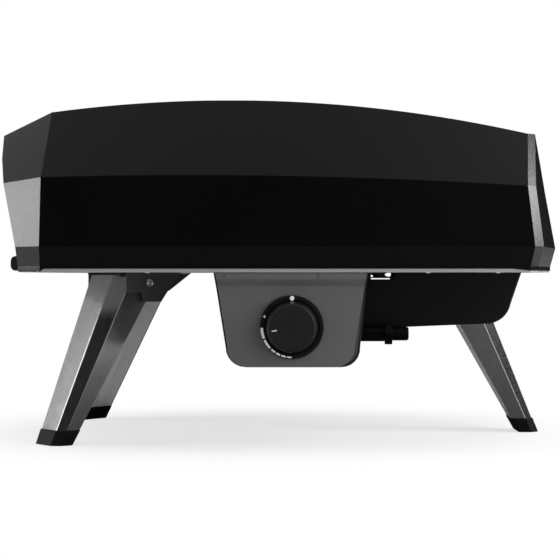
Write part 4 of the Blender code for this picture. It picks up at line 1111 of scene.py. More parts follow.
    def build(self, mouth: "Mouth") -> None:
        """Builds the hood and cuts the mouth into it."""
        outline = mouth.outline(self, 0.0, self.bottom - mouth.overrun)
        hole = Shape.prism(outline, -self.half_length - mouth.overrun, mouth.depth_x, Axis.X)
        blank = Blank("hood_shell", self.skin(), Finishes.hood).wall(self.wall).cut(hole)
        blank.soften(self.fold, 3, self.fold_angle)
        place_piece(blank.settle(self.sharp_angle), "oven", "outer_shell")


@dataclass
class Mouth:
    """The mouth's steel sleeve and the lip below it."""

    foot_half: float = 0.1850
    top_half: float = 0.1500
    height: float = 0.0925
    corner: float = 0.0240
    corner_steps: int = 12
    proud: float = 0.0020
    wall: float = SHEET
    edge: float = 0.0004
    lip_edge: float = 0.0005
    overrun: float = 0.02
    depth_x: float = -0.2315
    back_gap: float = 0.0010
    lip_rise: float = 0.0109

    def outline(self, hood: Hood, inset: float, bottom: float) -> list[Pair]:
        """The mouth's outline drawn in by an inset."""
        top = hood.bottom + self.height - inset
        foot, head = self.foot_half - inset, self.top_half - inset
        lean = math.degrees(math.atan2(foot - head, top - hood.bottom))
        reach = self.corner * math.tan(math.radians((90 - lean) / 2))
        near = arc((-head + reach, top - self.corner), self.corner, 180 - lean, 90, self.corner_steps)
        spread = (foot - head) * (hood.bottom - bottom) / (top - hood.bottom)
        far = [(-y, z) for y, z in reversed(near)]
        return [(-foot - spread, bottom)] + near + far + [(foot + spread, bottom)]

    def build(self, hood: Hood) -> None:
        """Builds the sleeve and the lip."""
        lean_share = (self.foot_half - self.top_half) / self.height
        lip_top = hood.bottom + self.lip_rise
        path = self.outline(hood, GAP, lip_top + GAP + self.wall * lean_share)
        back_x = self.depth_x - self.back_gap
        rows = [[(between(hood.face_x(z) - self.proud, back_x, share), y, z) for y, z in path]
                for share in (0.0, 0.5, 1.0)]
        skin = Shape.loft(rows, caps=False, closed=False).away_from((self.depth_x, 0, lip_top))
        sleeve = Blank("mouth_sleeve_steel", skin, Finishes.sleeve).wall(self.wall).soften(self.edge, 2, 40.0)
        place_piece(sleeve.settle(), "oven", "mouth_sleeve")
        refine_node("front_lip", "rolled_front_lip", Finishes.lip, self.lip_edge)


@dataclass
class Chamber:
    """The vaulted liner, the floor, the rails and the stone."""

    stone_corner: float = 0.0120
    stone_round: float = 0.0022
    rail_round: float = 0.0006
    liner_round: float = 0.0005
    floor_round: float = 0.0004

    def build(self) -> None:
        """Builds the steel parts and the stone."""
        refine_node("chamber_liner", "vault_liner", Finishes.liner, self.liner_round)
        refine_node("chamber_floor", "vault_floor", Finishes.liner, self.floor_round)
        for side in ("near", "far"):
            refine_node("stone_rail_" + side, "stone_runner_" + side, Finishes.rail, self.rail_round, 25.0)
        low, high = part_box("baking_stone")
        corners = [(low.x, low.y), (high.x, low.y), (high.x, high.y), (low.x, high.y)]
        slab = Shape.prism(rounded(corners, self.stone_corner, 8), low.z, high.z, Axis.Z)
        stone = Blank("cordierite_stone", slab, Finishes.stone).soften(self.stone_round, 3, 40.0)
        place_piece(stone.settle(50.0), "stone_body", "baking_stone")
        dress_nodes({"insulation_blanket": Finishes.wool, "floor_board": Finishes.board})


@dataclass
class Underside:
    """The zinc tray under the hood with its rivets, and the hem that covers its upper edge."""

    hood: Hood
    tray_edge: float = 0.0004
    rivet_radius: float = 0.0024
    rivet_height: float = 0.0008
    rivet_count: int = 7
    rivet_start: float = 0.060
    rivet_end: float = 0.070
    rivet_y: float = 0.213
    rivet_crown: tuple[Pair, ...] = ((0.7, 0.92), (0.95, 0.5))
    hem_drop: float = 0.0022
    hem_front_drop: float = 0.0051
    hem_rear_drop: float = 0.0041
    hem_step: float = 0.004
    hem_wall: float = 0.0007
    hem_edge: float = 0.00025
    hem_overlap: float = GAP

    def hem(self) -> None:
        """Builds the hood's hem, deeper at the front chamfers and at the rear."""
        ring = self.hood.half_ring(0)[self.hood.front_steps:]
        rear = self.hood.columns
        line = [(point, self.hem_drop) for point in ring]
        line[0], line[1] = (ring[0], self.hem_front_drop), (ring[1], self.hem_front_drop)
        line[rear:] = [(point, self.hem_rear_drop) for point in ring[rear:]]
        line.insert(2, (ring[1] + (ring[2] - ring[1]).normalized() * self.hem_step, self.hem_drop))
        line += [(Vector((point.x, -point.y, point.z)), drop) for point, drop in line[-2::-1]]
        foot = self.hood.bottom
        rings = [[(point.x, point.y, foot - drop) for point, drop in line],
                 [(point.x, point.y, foot + self.hem_overlap) for point, drop in line]]
        strip = Shape.loft(rings, caps=False, closed=False).away_from((0.0, 0.0, foot))
        blank = Blank("hood_hem", strip, Finishes.hood).wall(self.hem_wall).soften(self.hem_edge, 2, 40.0)
        place_piece(blank.settle(), "oven", slot="powder_coat_black")

    def rivet(self) -> Shape:
        """A flat rivet head that hangs below the tray."""
        radius, height = self.rivet_radius, self.rivet_height
        crown = [(radius * out, -height * down) for out, down in self.rivet_crown]
        profile = [(0.0, -height)] + crown + [(radius, 0.0), (0.0, 0.0)]
        return Shape.revolved(profile, (0.0, 0.0, 0.0), steps=16)

    def build(self) -> None:
        """Builds the hem, the tray and its rows of rivets."""
        self.hem()
        refine_node("base_tray", "base_tray_zinc", Finishes.tray, self.tray_edge)
        low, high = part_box("base_tray")
        pitch = (high.x - low.x - self.rivet_start - self.rivet_end) / (self.rivet_count - 1)
        for side, sign in (("near", -1), ("far", 1)):
            row = studs_tree(Finishes.bolt).run(
                "tray_rivets_" + side, self.rivet(), Count=self.rivet_count,
                First=(low.x + self.rivet_start, sign * self.rivet_y, low.z), Step=(pitch, 0.0, 0.0))
            place_piece(row.settle(60.0), "oven", slot="galvanised_sheet")


@dataclass
class BurnerBox:
    """The enamelled box under the hood, with an air gap, a slot and a peep hole at its top edge."""

    end_lean: float = 0.0105
    corner: float = 0.0250
    left_depth: float = 0.0587
    right_depth: float = 0.0522
    wall: float = 0.0012
    edge: float = 0.0022
    edge_angle: float = 25.0
    notch_depth: float = 0.0039
    notch_corner: float = 0.0012
    small_top: float = 0.0022
    small_bottom: float = 0.0045
    small_slant: float = 0.0012
    small_round: float = 0.0005
    tab_start: float = 0.0064
    tab_middle: float = 0.0140
    tab_end: float = 0.0164
    tab_rise: float = 0.0020
    slot_top: float = 0.0056
    slot_bottom: float = 0.0069
    slot_margin: float = 0.0010
    gap_left: float = 0.0413
    gap_length: float = 0.0250
    peep_radius: float = 0.0012
    peep_drop: float = 0.0097
    peep_shift: float = 0.0004
    peep_depth: float = 0.1
    mixer_hole: float = 0.0083
    level_error: float = 1e-6

    def __post_init__(self) -> None:
        """Reads the box's place from the CAD."""
        self.low, self.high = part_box("burner_box")
        self.near, self.far = self.low.y - OVERRUN, self.high.y + OVERRUN

    def outline(self, wall: float, top: float) -> list[Pair]:
        """The box seen from its side, drawn in by its wall."""
        under = self.high.z
        lean = math.degrees(math.atan2(self.end_lean, self.right_depth))
        radius = self.corner - wall
        bottom = under - self.right_depth + wall
        right = self.high.x - wall
        centre = (right - self.end_lean - radius, bottom + radius)
        points = [(self.low.x + wall, top), (self.low.x + wall, under - self.left_depth + wall)]
        return points + arc(centre, radius, 270, 360 - lean, 20) + [(right, top)]

    def air_gaps(self) -> list[Shape]:
        """The notch, the small opening and the slot at the top edge."""
        left, top = self.low.x + self.gap_left, self.high.z
        right, floor = left + self.gap_length, top - self.notch_depth
        notch = [(left + self.tab_end, top + OVERRUN), (left + self.tab_end, top),
                 (left + self.tab_middle, top - self.tab_rise), (left + self.tab_end, floor)]
        notch += arc((right - self.notch_corner, floor + self.notch_corner), self.notch_corner, 270, 360, 5)
        notch += [(right, top + OVERRUN)]
        small = [(left, top - self.small_top), (left, top - self.small_bottom),
                 (left + self.tab_start, top - self.small_bottom),
                 (left + self.tab_start - self.small_slant, top - self.small_top)]
        gaps = [Shape.prism(outline, self.near, self.far, Axis.Y)
                for outline in (notch, rounded(small, self.small_round))]
        gaps.append(Shape.block((left, self.near, top - self.slot_bottom),
                                (right - self.slot_margin, self.far, top - self.slot_top)))
        return gaps

    def shell(self) -> Shape:
        """The closed box with every edge rounded but those of its top."""
        top = self.high.z
        shape = Shape.prism(self.outline(0.0, top), self.low.y, self.high.y, Axis.Y)
        bevelled = [edge for edge in shape.mesh.edges
                    if edge.calc_face_angle(0.0) > math.radians(self.edge_angle)
                    and not all(abs(vert.co.z - top) < self.level_error for vert in edge.verts)]
        bmesh.ops.bevel(shape.mesh, geom=bevelled, offset=self.edge, segments=5, profile=0.5, affect="EDGES",
                        clamp_overlap=True)
        return shape

    def build(self) -> None:
        """Builds the box and cuts out its inside and its openings."""
        inside = Shape.prism(self.outline(self.wall, self.high.z + OVERRUN), self.low.y + self.wall,
                             self.high.y - self.wall, Axis.Y)
        peep_x = self.low.x + self.gap_left - self.peep_shift
        peep = Shape.rod(self.peep_radius, (0.0, self.peep_depth),
                         (peep_x, self.far, self.high.z - self.peep_drop), Facing.FRONT, 20)
        mixer = Shape.rod(self.mixer_hole, (-OVERRUN, OVERRUN), (self.low.x, *BURNER_AXIS), Facing.RIGHT, 32)
        box = Blank("burner_box_enamel", self.shell(), Finishes.burner_box)
        box.cut(inside, *self.air_gaps(), peep, mixer)
        place_piece(box.settle(28.0), "oven", "burner_box")


@dataclass
class Burner:
    """The burner tube with its ports, mixer and flame guard."""

    left: float = 0.0650
    length: float = 0.1500
    radius: float = 0.0120
    wall: float = 0.0010
    end_round: float = 0.0015
    port_count: int = 26
    port_start: float = 0.0125
    port_pitch: float = 0.0050
    port_radius: float = 0.0011
    port_depth: float = 0.006
    hole_count: int = 13
    hole_start: float = 0.014
    hole_drop: float = 0.008
    hole_pitch: float = 0.0110
    hole_radius: float = 0.0026
    hole_depth: float = 0.01

    def tube(self) -> None:
        """Builds the tube with its row of ports."""
        inner, end = self.radius - self.wall, self.length
        profile = [(0.0, end), (self.radius - self.end_round, end), (self.radius, end - self.end_round),
                   (self.radius, 0.0), (inner, 0.0), (inner, end - self.wall), (0.0, end - self.wall)]
        axis_y, axis_z = BURNER_AXIS
        body = Shape.revolved(profile, (self.left, axis_y, axis_z), Facing.RIGHT, 48)
        piece = ports_tree(Finishes.burner).run(
            "burner_tube_ported", body, Count=self.port_count,
            First=(self.left + self.port_start, axis_y, axis_z + self.radius),
            Step=(self.port_pitch, 0.0, 0.0), Radius=self.port_radius, Depth=self.port_depth)
        place_piece(piece.settle(), "oven", "burner_tube")

    def guard(self) -> None:
        """Builds the flame guard with its row of holes."""
        low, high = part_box("flame_guard")
        piece = ports_tree(Finishes.liner).run(
            "flame_guard_pierced", Shape.block(tuple(low), tuple(high)), Count=self.hole_count,
            First=(low.x + self.hole_start, (low.y + high.y) / 2, high.z - self.hole_drop),
            Step=(self.hole_pitch, 0.0, 0.0), Radius=self.hole_radius, Depth=self.hole_depth,
            Turn=(math.radians(90), 0.0, 0.0))
        place_piece(piece.settle(), "oven", "flame_guard")

    def build(self) -> None:
        """Builds the tube and the guard and dresses the rest."""
        self.tube()
        self.guard()
        dress_nodes({"venturi_tube": Finishes.cast, "gas_injector": Finishes.brass,
                     "gas_pipe": Finishes.aluminium, "burner_saddle_left": Finishes.rail,
                     "burner_saddle_right": Finishes.rail, "spark_electrode": Finishes.ceramic,
                     "flame_probe": Finishes.bolt, "ignition_lead": Finishes.lead,
                     "probe_lead": Finishes.lead})


@dataclass
class ControlPanel:
    """The grey control panel, the box behind it and its screws."""

    middle: float = 0.0094
    lip_y: float = -0.2220
    top_half: float = 0.0756
    bottom_half: float = 0.0605
    depth: float = 0.0946
    lip_height: float = 0.0060
    lip_share: float = 0.6
    slant_height: float = 0.0080
    bend_softness: float = 0.45
    corner: float = 0.0200
    wall: float = SHEET
    edge: float = 0.0014
    box_edge: float = 0.0004
    bend_steps: int = 5
    corner_steps: int = 14
    hole_ends: Pair = (0.15, 0.25)
    box_margins: Pair = (0.0010, 0.0066)
    box_inset: float = 0.0016
    return_overlap: float = 0.0030
    return_sink: float = 0.0016
    return_wall: float = 0.0007
    screw_crown: tuple[Pair, ...] = ((0.0, 1.0), (0.45, 0.94), (0.8, 0.68), (1.0, 0.2), (1.0, 0.0),
                                     (0.0, 0.0))
    cross_reach: float = 0.55
    cross_width: float = 0.11
    cross_floor: float = 0.5

    def __post_init__(self) -> None:
        """Reads the panel's top from the CAD."""
        self.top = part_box("control_panel")[1].z
        self.lean = (self.top_half - self.bottom_half) / self.depth

    def half_at(self, height: float) -> float:
        """Half width of the panel's straight part at a height."""
        return self.top_half - (self.top - height) * self.lean

    def front_at(self, height: float) -> float:
        """Y of the panel's face at a height, with soft bends at the lip."""
        start = self.top - self.lip_height
        share = min(1.0, max(0.0, (start - height) / self.slant_height))
        soft = share * share * (3 - 2 * share)
        return between(self.lip_y, PANEL_FACE_Y, between(share, soft, self.bend_softness))

    def lip_rows(self) -> list[Pair]:
        """Height and half width down the lip and the slant below it."""
        start = self.top - self.lip_height
        steps = 2 * self.bend_steps
        heights = [self.top, self.top - self.lip_height * self.lip_share]
        heights += [start - self.slant_height * step / steps for step in range(steps)]
        return [(height, self.half_at(height)) for height in heights]

    def face_rows(self) -> list[Pair]:
        """Height and half width from the foot of the slant down round the corner."""
        slant_foot = self.top - self.lip_height - self.slant_height
        straight = self.top - self.depth + self.corner
        centre = (self.half_at(straight) - self.corner, straight)
        corner = arc(centre, self.corner, 0, -90, self.corner_steps)
        return [(slant_foot, self.half_at(slant_foot))] + [(z, x) for x, z in corner]

    def panel(self) -> None:
        """Builds the folded panel with the hole for the knob's stem."""
        rings = []
        for height, half in self.lip_rows() + self.face_rows():
            front = self.front_at(height)
            back = front + self.wall
            rings.append([(self.middle - half, front, height), (self.middle + half, front, height),
                          (self.middle + half, back, height), (self.middle - half, back, height)])
        knob_x, knob_z = KNOB_AXIS
        hole = Shape.rod(KNOB_STEM_HOLE, self.hole_ends, (knob_x, 0.0, knob_z), Facing.FRONT, 40)
        panel = Blank("control_panel_grey", Shape.loft(rings), Finishes.panel)
        panel.soften(self.edge, 3, 50.0).cut(hole)
        place_piece(panel.settle(), "oven", "control_panel")

    def side_return(self) -> None:
        """Builds the folded strip between the panel's right edge and the box wall, darker than the panel:
        painted shade for its recess.
        """
        back = PANEL_FACE_Y + self.wall + GAP
        rings = []
        for height, half in self.face_rows():
            share = (self.top - height) / self.depth
            edge, level = self.middle + half, height + self.box_inset * share
            reach = max(0.0, between(*self.box_margins, share) - self.box_inset)
            sunk = back + self.return_sink * reach / self.box_margins[1]
            rings.append([(edge - self.return_overlap, back, level), (edge + reach, sunk, level),
                          (edge + reach, sunk + self.return_wall, level),
                          (edge - self.return_overlap, back + self.return_wall, level)])
        # The hinge grey, darker than the panel's own grey, is painted shade in the recess
        strip = Blank("panel_side_return", Shape.loft(rings), Finishes.hinge)
        place_piece(strip.settle(), "oven", slot="panel_grey")

    def screw(self, side: str) -> None:
        """Builds one cross-head screw on the panel's lip."""
        node = "panel_screw_" + side
        low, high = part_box(node)
        radius, height = (high.x - low.x) / 2, high.y - low.y
        middle = (low + high) / 2
        profile = [(radius * out, height * up) for out, up in self.screw_crown]
        head = Shape.revolved(profile, (middle.x, high.y, middle.z), Facing.FRONT, 24)
        reach, slot = radius * self.cross_reach, radius * self.cross_width
        cross = [Shape.block((middle.x - across, low.y - height, middle.z - up),
                             (middle.x + across, low.y + height * self.cross_floor, middle.z + up))
                 for across, up in ((reach, slot), (slot, reach))]
        blank = Blank("panel_lip_screw_" + side, head, Finishes.panel).cut(*cross)
        place_piece(blank.settle(), "oven", node)

    def build(self) -> None:
        """Builds the panel, the box and the screws."""
        self.panel()
        refine_node("control_box", "control_box_black", Finishes.box_side, self.box_edge, 50.0)
        self.side_return()
        for side in ("left", "right"):
            self.screw(side)


@dataclass
class ControlKnob:
    """The knob with its pointer and its spring, and the marked bezel behind it."""

    bezel_radius: float = 0.0318
    recess_radius: float = 0.0274
    bezel_rim: float = 0.0039
    bezel_floor: float = 0.0012
    bezel_soft: float = 0.0007
    soft_share: float = 0.3
    knob_radius: float = 0.0260
    face_radius: float = 0.0237
    knob_soft: float = 0.0022
    flank_step: Pair = (0.0002, 0.0006)
    back_y: float = -0.2195
    height: float = 0.0151
    socket: Pair = (0.0063, 0.2268)
    stem: Pair = (0.0043, 0.2303)
    pointer_turn: float = 100.0
    pointer_length: float = 0.0054
    pointer_width: float = 0.0012
    pointer_depth: float = 0.0006
    pointer_margin: float = 0.0033
    pointer_lead: float = 0.005
    pointer_sink: float = 0.2
    pointer_round: float = 0.9
    print_height: float = 0.0002
    scale_radius: float = 0.0300
    dashes: tuple[Pair, ...] = ((181.0, 21.0), (205.0, 19.0), (227.2, 8.8), (238.4, 8.8), (249.6, 8.8),
                                (260.8, 8.8))
    dash_width: float = 0.0027
    dash_end_width: float = 0.0011
    dot_radius: float = 0.0023
    dot_place: Pair = (0.0003, 0.0289)
    star_reach: Pair = (0.0021, 0.0007)
    star_turn: float = 12.0
    star_place: Pair = (-0.0272, 0.0106)
    push: float = 0.0035

    def __post_init__(self) -> None:
        """Places the knob's axis and the front of the bezel."""
        self.x, self.z = KNOB_AXIS
        self.bezel_front = PANEL_FACE_Y - GAP - self.bezel_rim

    def turned(self, profile: list[Pair]) -> Shape:
        """Turns a profile about the knob's axis."""
        return Shape.revolved(profile, (self.x, 0.0, self.z), Facing.FRONT, 96)

    def bezel(self) -> None:
        """Builds the bezel ring."""
        seat = -PANEL_FACE_Y + GAP
        rim = seat + self.bezel_rim
        soft, eased = self.bezel_soft, self.bezel_soft * self.soft_share
        inner, outer = self.recess_radius, self.bezel_radius
        profile = [(inner, rim - soft), (inner + eased, rim - eased), (inner + soft, rim),
                   (outer - soft, rim), (outer - eased, rim - eased), (outer, rim - soft), (outer, seat),
                   (KNOB_STEM_HOLE, seat), (KNOB_STEM_HOLE, seat + self.bezel_floor),
                   (inner, seat + self.bezel_floor)]
        ring = Blank("bezel_ring", self.turned(profile), Finishes.bezel)
        place_piece(ring.settle(40.0), "oven", "knob_bezel")

    def on_face(self, front_y: float) -> Matrix:
        """Takes a flat drawing, x right and y up, to a face that looks to -Y."""
        return Matrix.Translation((self.x, front_y, self.z)) @ Facing.FRONT.matrix()

    def flame_scale(self) -> None:
        """Prints the dashes of the flame scale, each narrower than the one before."""
        placing = self.on_face(self.bezel_front - self.print_height * 0.5)
        first = self.dashes[0][0]
        total = sum(self.dashes[-1]) - first
        for number, (start, sweep) in enumerate(self.dashes, 1):
            width, end = (between(self.dash_width, self.dash_end_width, (angle - first) / total)
                          for angle in (start, start + sweep))
            dash = dash_tree(Finishes.ink).run(
                f"flame_scale_dash_{number}", None, placing, Radius=self.scale_radius,
                Start=math.radians(start), Sweep=math.radians(sweep), Width=width,
                Height=self.print_height, EndShare=end / width)
            place_piece(dash.settle(50.0), "oven")

    def marks(self) -> None:
        """Prints the off dot and the spark mark on the bezel."""
        front = self.bezel_front + self.print_height * 0.5
        across, up = self.dot_place
        dot = Shape.rod(self.dot_radius, (0.0, self.print_height), (self.x + across, front, self.z + up),
                        Facing.FRONT, 32)
        place_piece(Blank("off_mark_dot", dot, Finishes.ink).settle(50.0), "oven")
        points = []
        for step in range(8):
            reach = self.star_reach[step % 2]
            angle = math.radians(45 * step + self.star_turn)
            points.append((reach * math.cos(angle), reach * math.sin(angle)))
        star = Shape.prism(points, 0.0, self.print_height, Axis.Z)
        star.moved(self.on_face(front) @ Matrix.Translation((*self.star_place, 0.0)))
        place_piece(Blank("spark_mark_star", star, Finishes.ink).settle(50.0), "oven")

    def knob(self) -> None:
        """Builds the knob and the pointer inlaid in its face."""
        back = -self.back_y
        front = back + self.height
        soft = self.knob_soft
        out, along = self.flank_step
        socket, socket_top = self.socket
        stem, stem_top = self.stem
        edge = arc((self.face_radius - soft, front - soft), soft, 90, 15, 5)
        flank = [(self.face_radius + out, front - soft - along), (self.knob_radius - out, back + along)]
        bore = [(socket, back), (socket, socket_top), (stem, socket_top), (stem, stem_top), (0.0, stem_top)]
        body = self.turned([(0.0, front)] + edge + flank + [(self.knob_radius, back)] + bore)
        angle = math.radians(90 + self.pointer_turn)
        half, width = self.pointer_length / 2, self.pointer_width / 2
        middle = self.face_radius - self.pointer_margin - half
        place = (self.x + middle * math.cos(angle), -front, self.z + middle * math.sin(angle))
        placing = Matrix.Translation(place) @ Matrix.Rotation(-angle, 4, "Y")
        slot = Shape.block((-half, -self.pointer_lead, -width), (half, self.pointer_depth, width))
        piece = Blank("gas_control_knob", body, Finishes.knob).cut(slot.moved(placing))
        place_piece(piece.settle(30.0), "knob_body", "control_knob")
        outline = rounded([(-half, -width), (half, -width), (half, width), (-half, width)],
                          width * self.pointer_round)
        inlay = Shape.prism(outline, self.pointer_depth * self.pointer_sink, self.pointer_depth, Axis.Y)
        pointer = Blank("knob_pointer_inlay", inlay.moved(placing), Finishes.pointer)
        place_piece(pointer.settle(50.0), "knob_body")

    def spring(self) -> None:
        """Builds the coil spring, which shortens as the knob is pushed in."""
        coil = Blank("knob_coil_spring", Shape.copied("knob_spring"), Finishes.stem).settle()
        place_piece(coil, "oven", "knob_spring")
        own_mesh(coil)

    def build(self) -> None:
        """Builds the bezel, its marks, the knob and its spring, and dresses the valve."""
        self.bezel()
        self.flame_scale()
        self.marks()
        self.knob()
        self.spring()
        dress_nodes({"valve_body": Finishes.brass, "valve_stem": Finishes.stem,
                     "thrust_sleeve": Finishes.sleeve_plastic, "spark_igniter": Finishes.igniter})


@dataclass
class GasInlet:
    """The blackened gas inlet with its collar and threaded end."""

    y: float = -0.1900
    z: float = 0.1150
    body_radius: float = 0.00785
    body_end: float = 0.1042
    body_length: float = 0.0340
    soft: float = 0.0008
    tube_radius: float = 0.0050
    collar_radius: float = 0.0120
    collar_length: float = 0.0072
    collar_flat_share: float = 1.03
    flat_height: float = 0.01
    flat_overrun: float = 0.001
    nipple_length: float = 0.0166
    core_radius: float = 0.0066
    root_radius: float = 0.0055
    bore_radius: float = 0.0040
    thread_start: float = 0.0012
    thread_margin: float = 0.0035
    ridge: float = 0.00062
    turns: float = 9.0

    def __post_init__(self) -> None:
        """Places the axis and the ends of the collar and the nipple."""
        self.place = (0.0, self.y, self.z)
        self.collar_start = self.body_end + GAP
        self.collar_end = self.collar_start + self.collar_length
        self.end = self.collar_end + self.nipple_length

    def turned(self, name: str, profile: list[Pair], cutters: list[Shape], node: str) -> None:
        """Turns one piece about the inlet's axis and cuts it."""
        piece = Blank(name, Shape.revolved(profile, self.place, Facing.RIGHT, 48), Finishes.inlet)
        place_piece(piece.cut(*cutters).settle(), "oven", node)

    def body(self) -> None:
        """Builds the body and the tube behind it."""
        start = self.body_end - self.body_length
        tube_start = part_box("inlet_body")[0].x
        radius, soft = self.body_radius, self.soft
        profile = [(0.0, self.body_end), (radius - soft, self.body_end), (radius, self.body_end - soft),
                   (radius, start + soft), (radius - soft, start), (self.tube_radius, start),
                   (self.tube_radius, tube_start), (0.0, tube_start)]
        self.turned("gas_inlet_body", profile, [], "inlet_body")

    def collar(self) -> None:
        """Builds the collar with its six flats."""
        radius, start, end = self.collar_radius, self.collar_start, self.collar_end
        bevel = self.collar_length / 8
        bore = self.root_radius + GAP
        profile = [(radius - bevel, end), (radius, end - bevel), (radius, start + bevel),
                   (radius - bevel, start), (bore, start), (bore, end)]
        flat = radius * math.cos(math.radians(30)) * self.collar_flat_share
        flats = []
        for index in range(6):
            side = Shape.block((start - self.flat_overrun, -self.flat_height, flat),
                               (end + self.flat_overrun, self.flat_height, flat + self.flat_height))
            turn = Matrix.Rotation(math.radians(60 * index), 4, "X")
            flats.append(side.moved(Matrix.Translation(self.place) @ turn))
        self.turned("gas_inlet_collar", profile, flats, "inlet_collar")

    def nipple(self) -> None:
        """Builds the nipple and the thread on it."""
        core, soft, seat = self.core_radius, self.soft, self.collar_end + GAP
        profile = [(self.bore_radius, self.end), (core - soft, self.end), (core, self.end - soft),
                   (core, seat), (self.root_radius, seat), (self.root_radius, self.collar_start),
                   (self.bore_radius, self.collar_start)]
        self.turned("gas_inlet_nipple", profile, [], "inlet_nipple")
        placing = Matrix.Translation((seat + self.thread_start, self.y, self.z)) @ Facing.RIGHT.matrix()
        thread = thread_tree(Finishes.inlet).run(
            "gas_inlet_thread", None, placing, Radius=core, Turns=self.turns,
            Length=self.nipple_length - self.thread_margin, Ridge=self.ridge)
        place_piece(thread.settle(60.0), "oven", slot="inlet_black")

    def build(self) -> None:
        """Builds the body, the collar and the nipple with its thread."""
        self.body()
        self.collar()
        self.nipple()


@dataclass
class FoldingLeg:
    """One folded zinc leg with its foot, hinge bracket, pin and stop pads."""

    prefix: str
    turn: float
    ground: Pair
    wall: float = SHEET
    slope: float = 0.403
    low: float = 0.0160
    high: float = 0.1700
    webs: Pair = (0.0302, 0.0428)
    chamfers: Pair = (0.00785, 0.0142)
    flanges: Pair = (0.0150, 0.0329)
    top: float = 0.1743
    pivot_z: float = 0.1660
    pivot_inset: float = 0.1037
    knuckle: float = 0.0100
    ear_half: float = 0.0365
    ear_gap: float = 0.0020
    ear_edge: float = 0.0004
    pad_edge: float = 0.0005
    bend: float = 0.0018
    pin_radius: float = 0.0030
    head_radius: float = 0.0045
    head_height: float = 0.0026
    head_rim: float = 0.0006
    dome_angles: tuple[int, ...] = (0, 18, 36, 54, 70)
    key_radius: float = 0.0019
    key_depth: float = 0.0014
    key_overrun: float = 0.001
    cap_wall: float = 0.0010
    cap_height: float = 0.0155
    cap_floor: float = 0.0020
    cap_edge: float = 0.0008
    overrun: float = 0.02

    def __post_init__(self) -> None:
        """Places the leg's own frame: its origin on the hinge pin, +X outward."""
        outward = Vector((math.cos(self.turn), math.sin(self.turn), 0.0))
        pivot = Vector((*self.ground, self.pivot_z)) - outward * self.pivot_inset
        self.placing = Matrix.Translation(pivot) @ Matrix.Rotation(self.turn, 4, "Z")
        self.body = self.prefix + "_leg_body"

    def section(self, height: float, grow: float = 0.0) -> list[Pair]:
        """The channel's outer line at a height, from one free edge to the other."""
        share = (height - self.low) / (self.high - self.low)
        web = between(*self.webs, share) / 2
        chamfer, flange = between(*self.chamfers, share), between(*self.flanges, share)
        outer = -self.slope * height
        corner = math.tan(math.radians(22.5))
        side = web + chamfer + grow
        half = [(outer + grow, web + grow * corner), (outer - chamfer + grow * corner, side),
                (outer - chamfer - flange - grow, side)]
        return [(out, -side) for out, side in reversed(half)] + half

    def ring(self, height: float, grow: float = 0.0, closed: bool = False) -> list[Point]:
        """The rounded section placed at its height."""
        line = rounded(self.section(height, grow), self.bend + grow, 4, closed)
        return [(out + self.pivot_inset, side, height - self.pivot_z) for out, side in line]

    def channel(self) -> None:
        """Builds the folded channel with its knuckle and pin hole."""
        low = self.cap_floor + GAP + self.wall * self.slope
        rings = [self.ring(between(low, self.top, step / 6)) for step in range(7)]
        skin = Shape.loft(rings, caps=False, closed=False)
        skin.away_from((-self.pivot_inset / 2, 0.0, -self.pivot_z / 2))
        rise = self.top - self.pivot_z
        start = math.degrees(math.asin(rise / self.knuckle))
        corner = [(-across, up) for across, up in arc((0, 0), self.knuckle, start, 0, 12)]
        above = rise + self.overrun
        corner += [(-self.pivot_inset, 0.0), (-self.pivot_inset, above), (corner[0][0], above)]
        span = self.ear_half + self.overrun
        waste = Shape.prism(corner, -span, span, Axis.Y).moved(self.placing)
        hole = Shape.rod(self.pin_radius + GAP, (-span, span), (0.0, 0.0, 0.0), Facing.FRONT, 28,
                         self.placing)
        piece = Blank(self.prefix + "_channel", skin.moved(self.placing), Finishes.leg)
        # The channel's inner faces take the pale zinc copy: painted bounce light in the channel's shade
        piece.lined_wall(self.wall, Finishes.leg_inside_painted_bounce).cut(waste, hole)
        place_piece(piece.settle(24.0), self.body, self.prefix + "_leg")

    def foot(self) -> None:
        """Builds the rubber cap."""
        rings = [self.ring(height, GAP + self.cap_wall, True)
                 for height in (0.0, self.cap_height * 0.5, self.cap_height)]
        levels = (self.cap_floor, self.cap_height + OVERRUN)
        inner = Shape.loft([self.ring(height, GAP, True) for height in levels])
        cap = Blank(self.prefix + "_rubber_cap", Shape.loft(rings).moved(self.placing), Finishes.foot)
        cap.soften(self.cap_edge, 3, 40.0).cut(inner.moved(self.placing))
        place_piece(cap.settle(30.0), self.body, self.prefix + "_foot")

    def pin(self) -> None:
        """Builds the pin with its domed socket heads."""
        reach = self.ear_half + self.ear_gap + GAP
        end, rim = reach + self.head_height, reach + self.head_rim
        dome = [(self.head_radius * math.cos(angle), rim + (end - rim) * math.sin(angle))
                for angle in map(math.radians, self.dome_angles)]
        upper = [(0.0, end)] + dome[::-1] + [(self.head_radius, reach), (self.pin_radius, reach)]
        profile = upper + [(radius, -along) for radius, along in reversed(upper)]
        shape = Shape.revolved(profile, (0.0, 0.0, 0.0), Facing.FRONT, 40, self.placing)
        hexagon = arc((0.0, 0.0), self.key_radius, 0, 300, 5)
        outside, inside = end + self.key_overrun, end - self.key_depth
        keys = [Shape.prism(hexagon, low, high, Axis.Y).moved(self.placing)
                for low, high in ((-outside, -inside), (inside, outside))]
        piece = Blank(self.prefix + "_hinge_bolt", shape, Finishes.bolt).cut(*keys)
        place_piece(piece.settle(40.0), "oven", self.prefix + "_pin")

    def build(self) -> None:
        """Builds the channel, the cap, the bracket, the pin and the pads."""
        self.channel()
        self.foot()
        refine_node(self.prefix + "_bracket", self.prefix + "_hinge_bracket", Finishes.hinge, self.ear_edge)
        self.pin()
        for side in ("left", "right"):
            refine_node(f"{self.prefix}_stop_pad_{side}", f"{self.prefix}_rubber_pad_{side}", Finishes.pad,
                        self.pad_edge, 25.0)


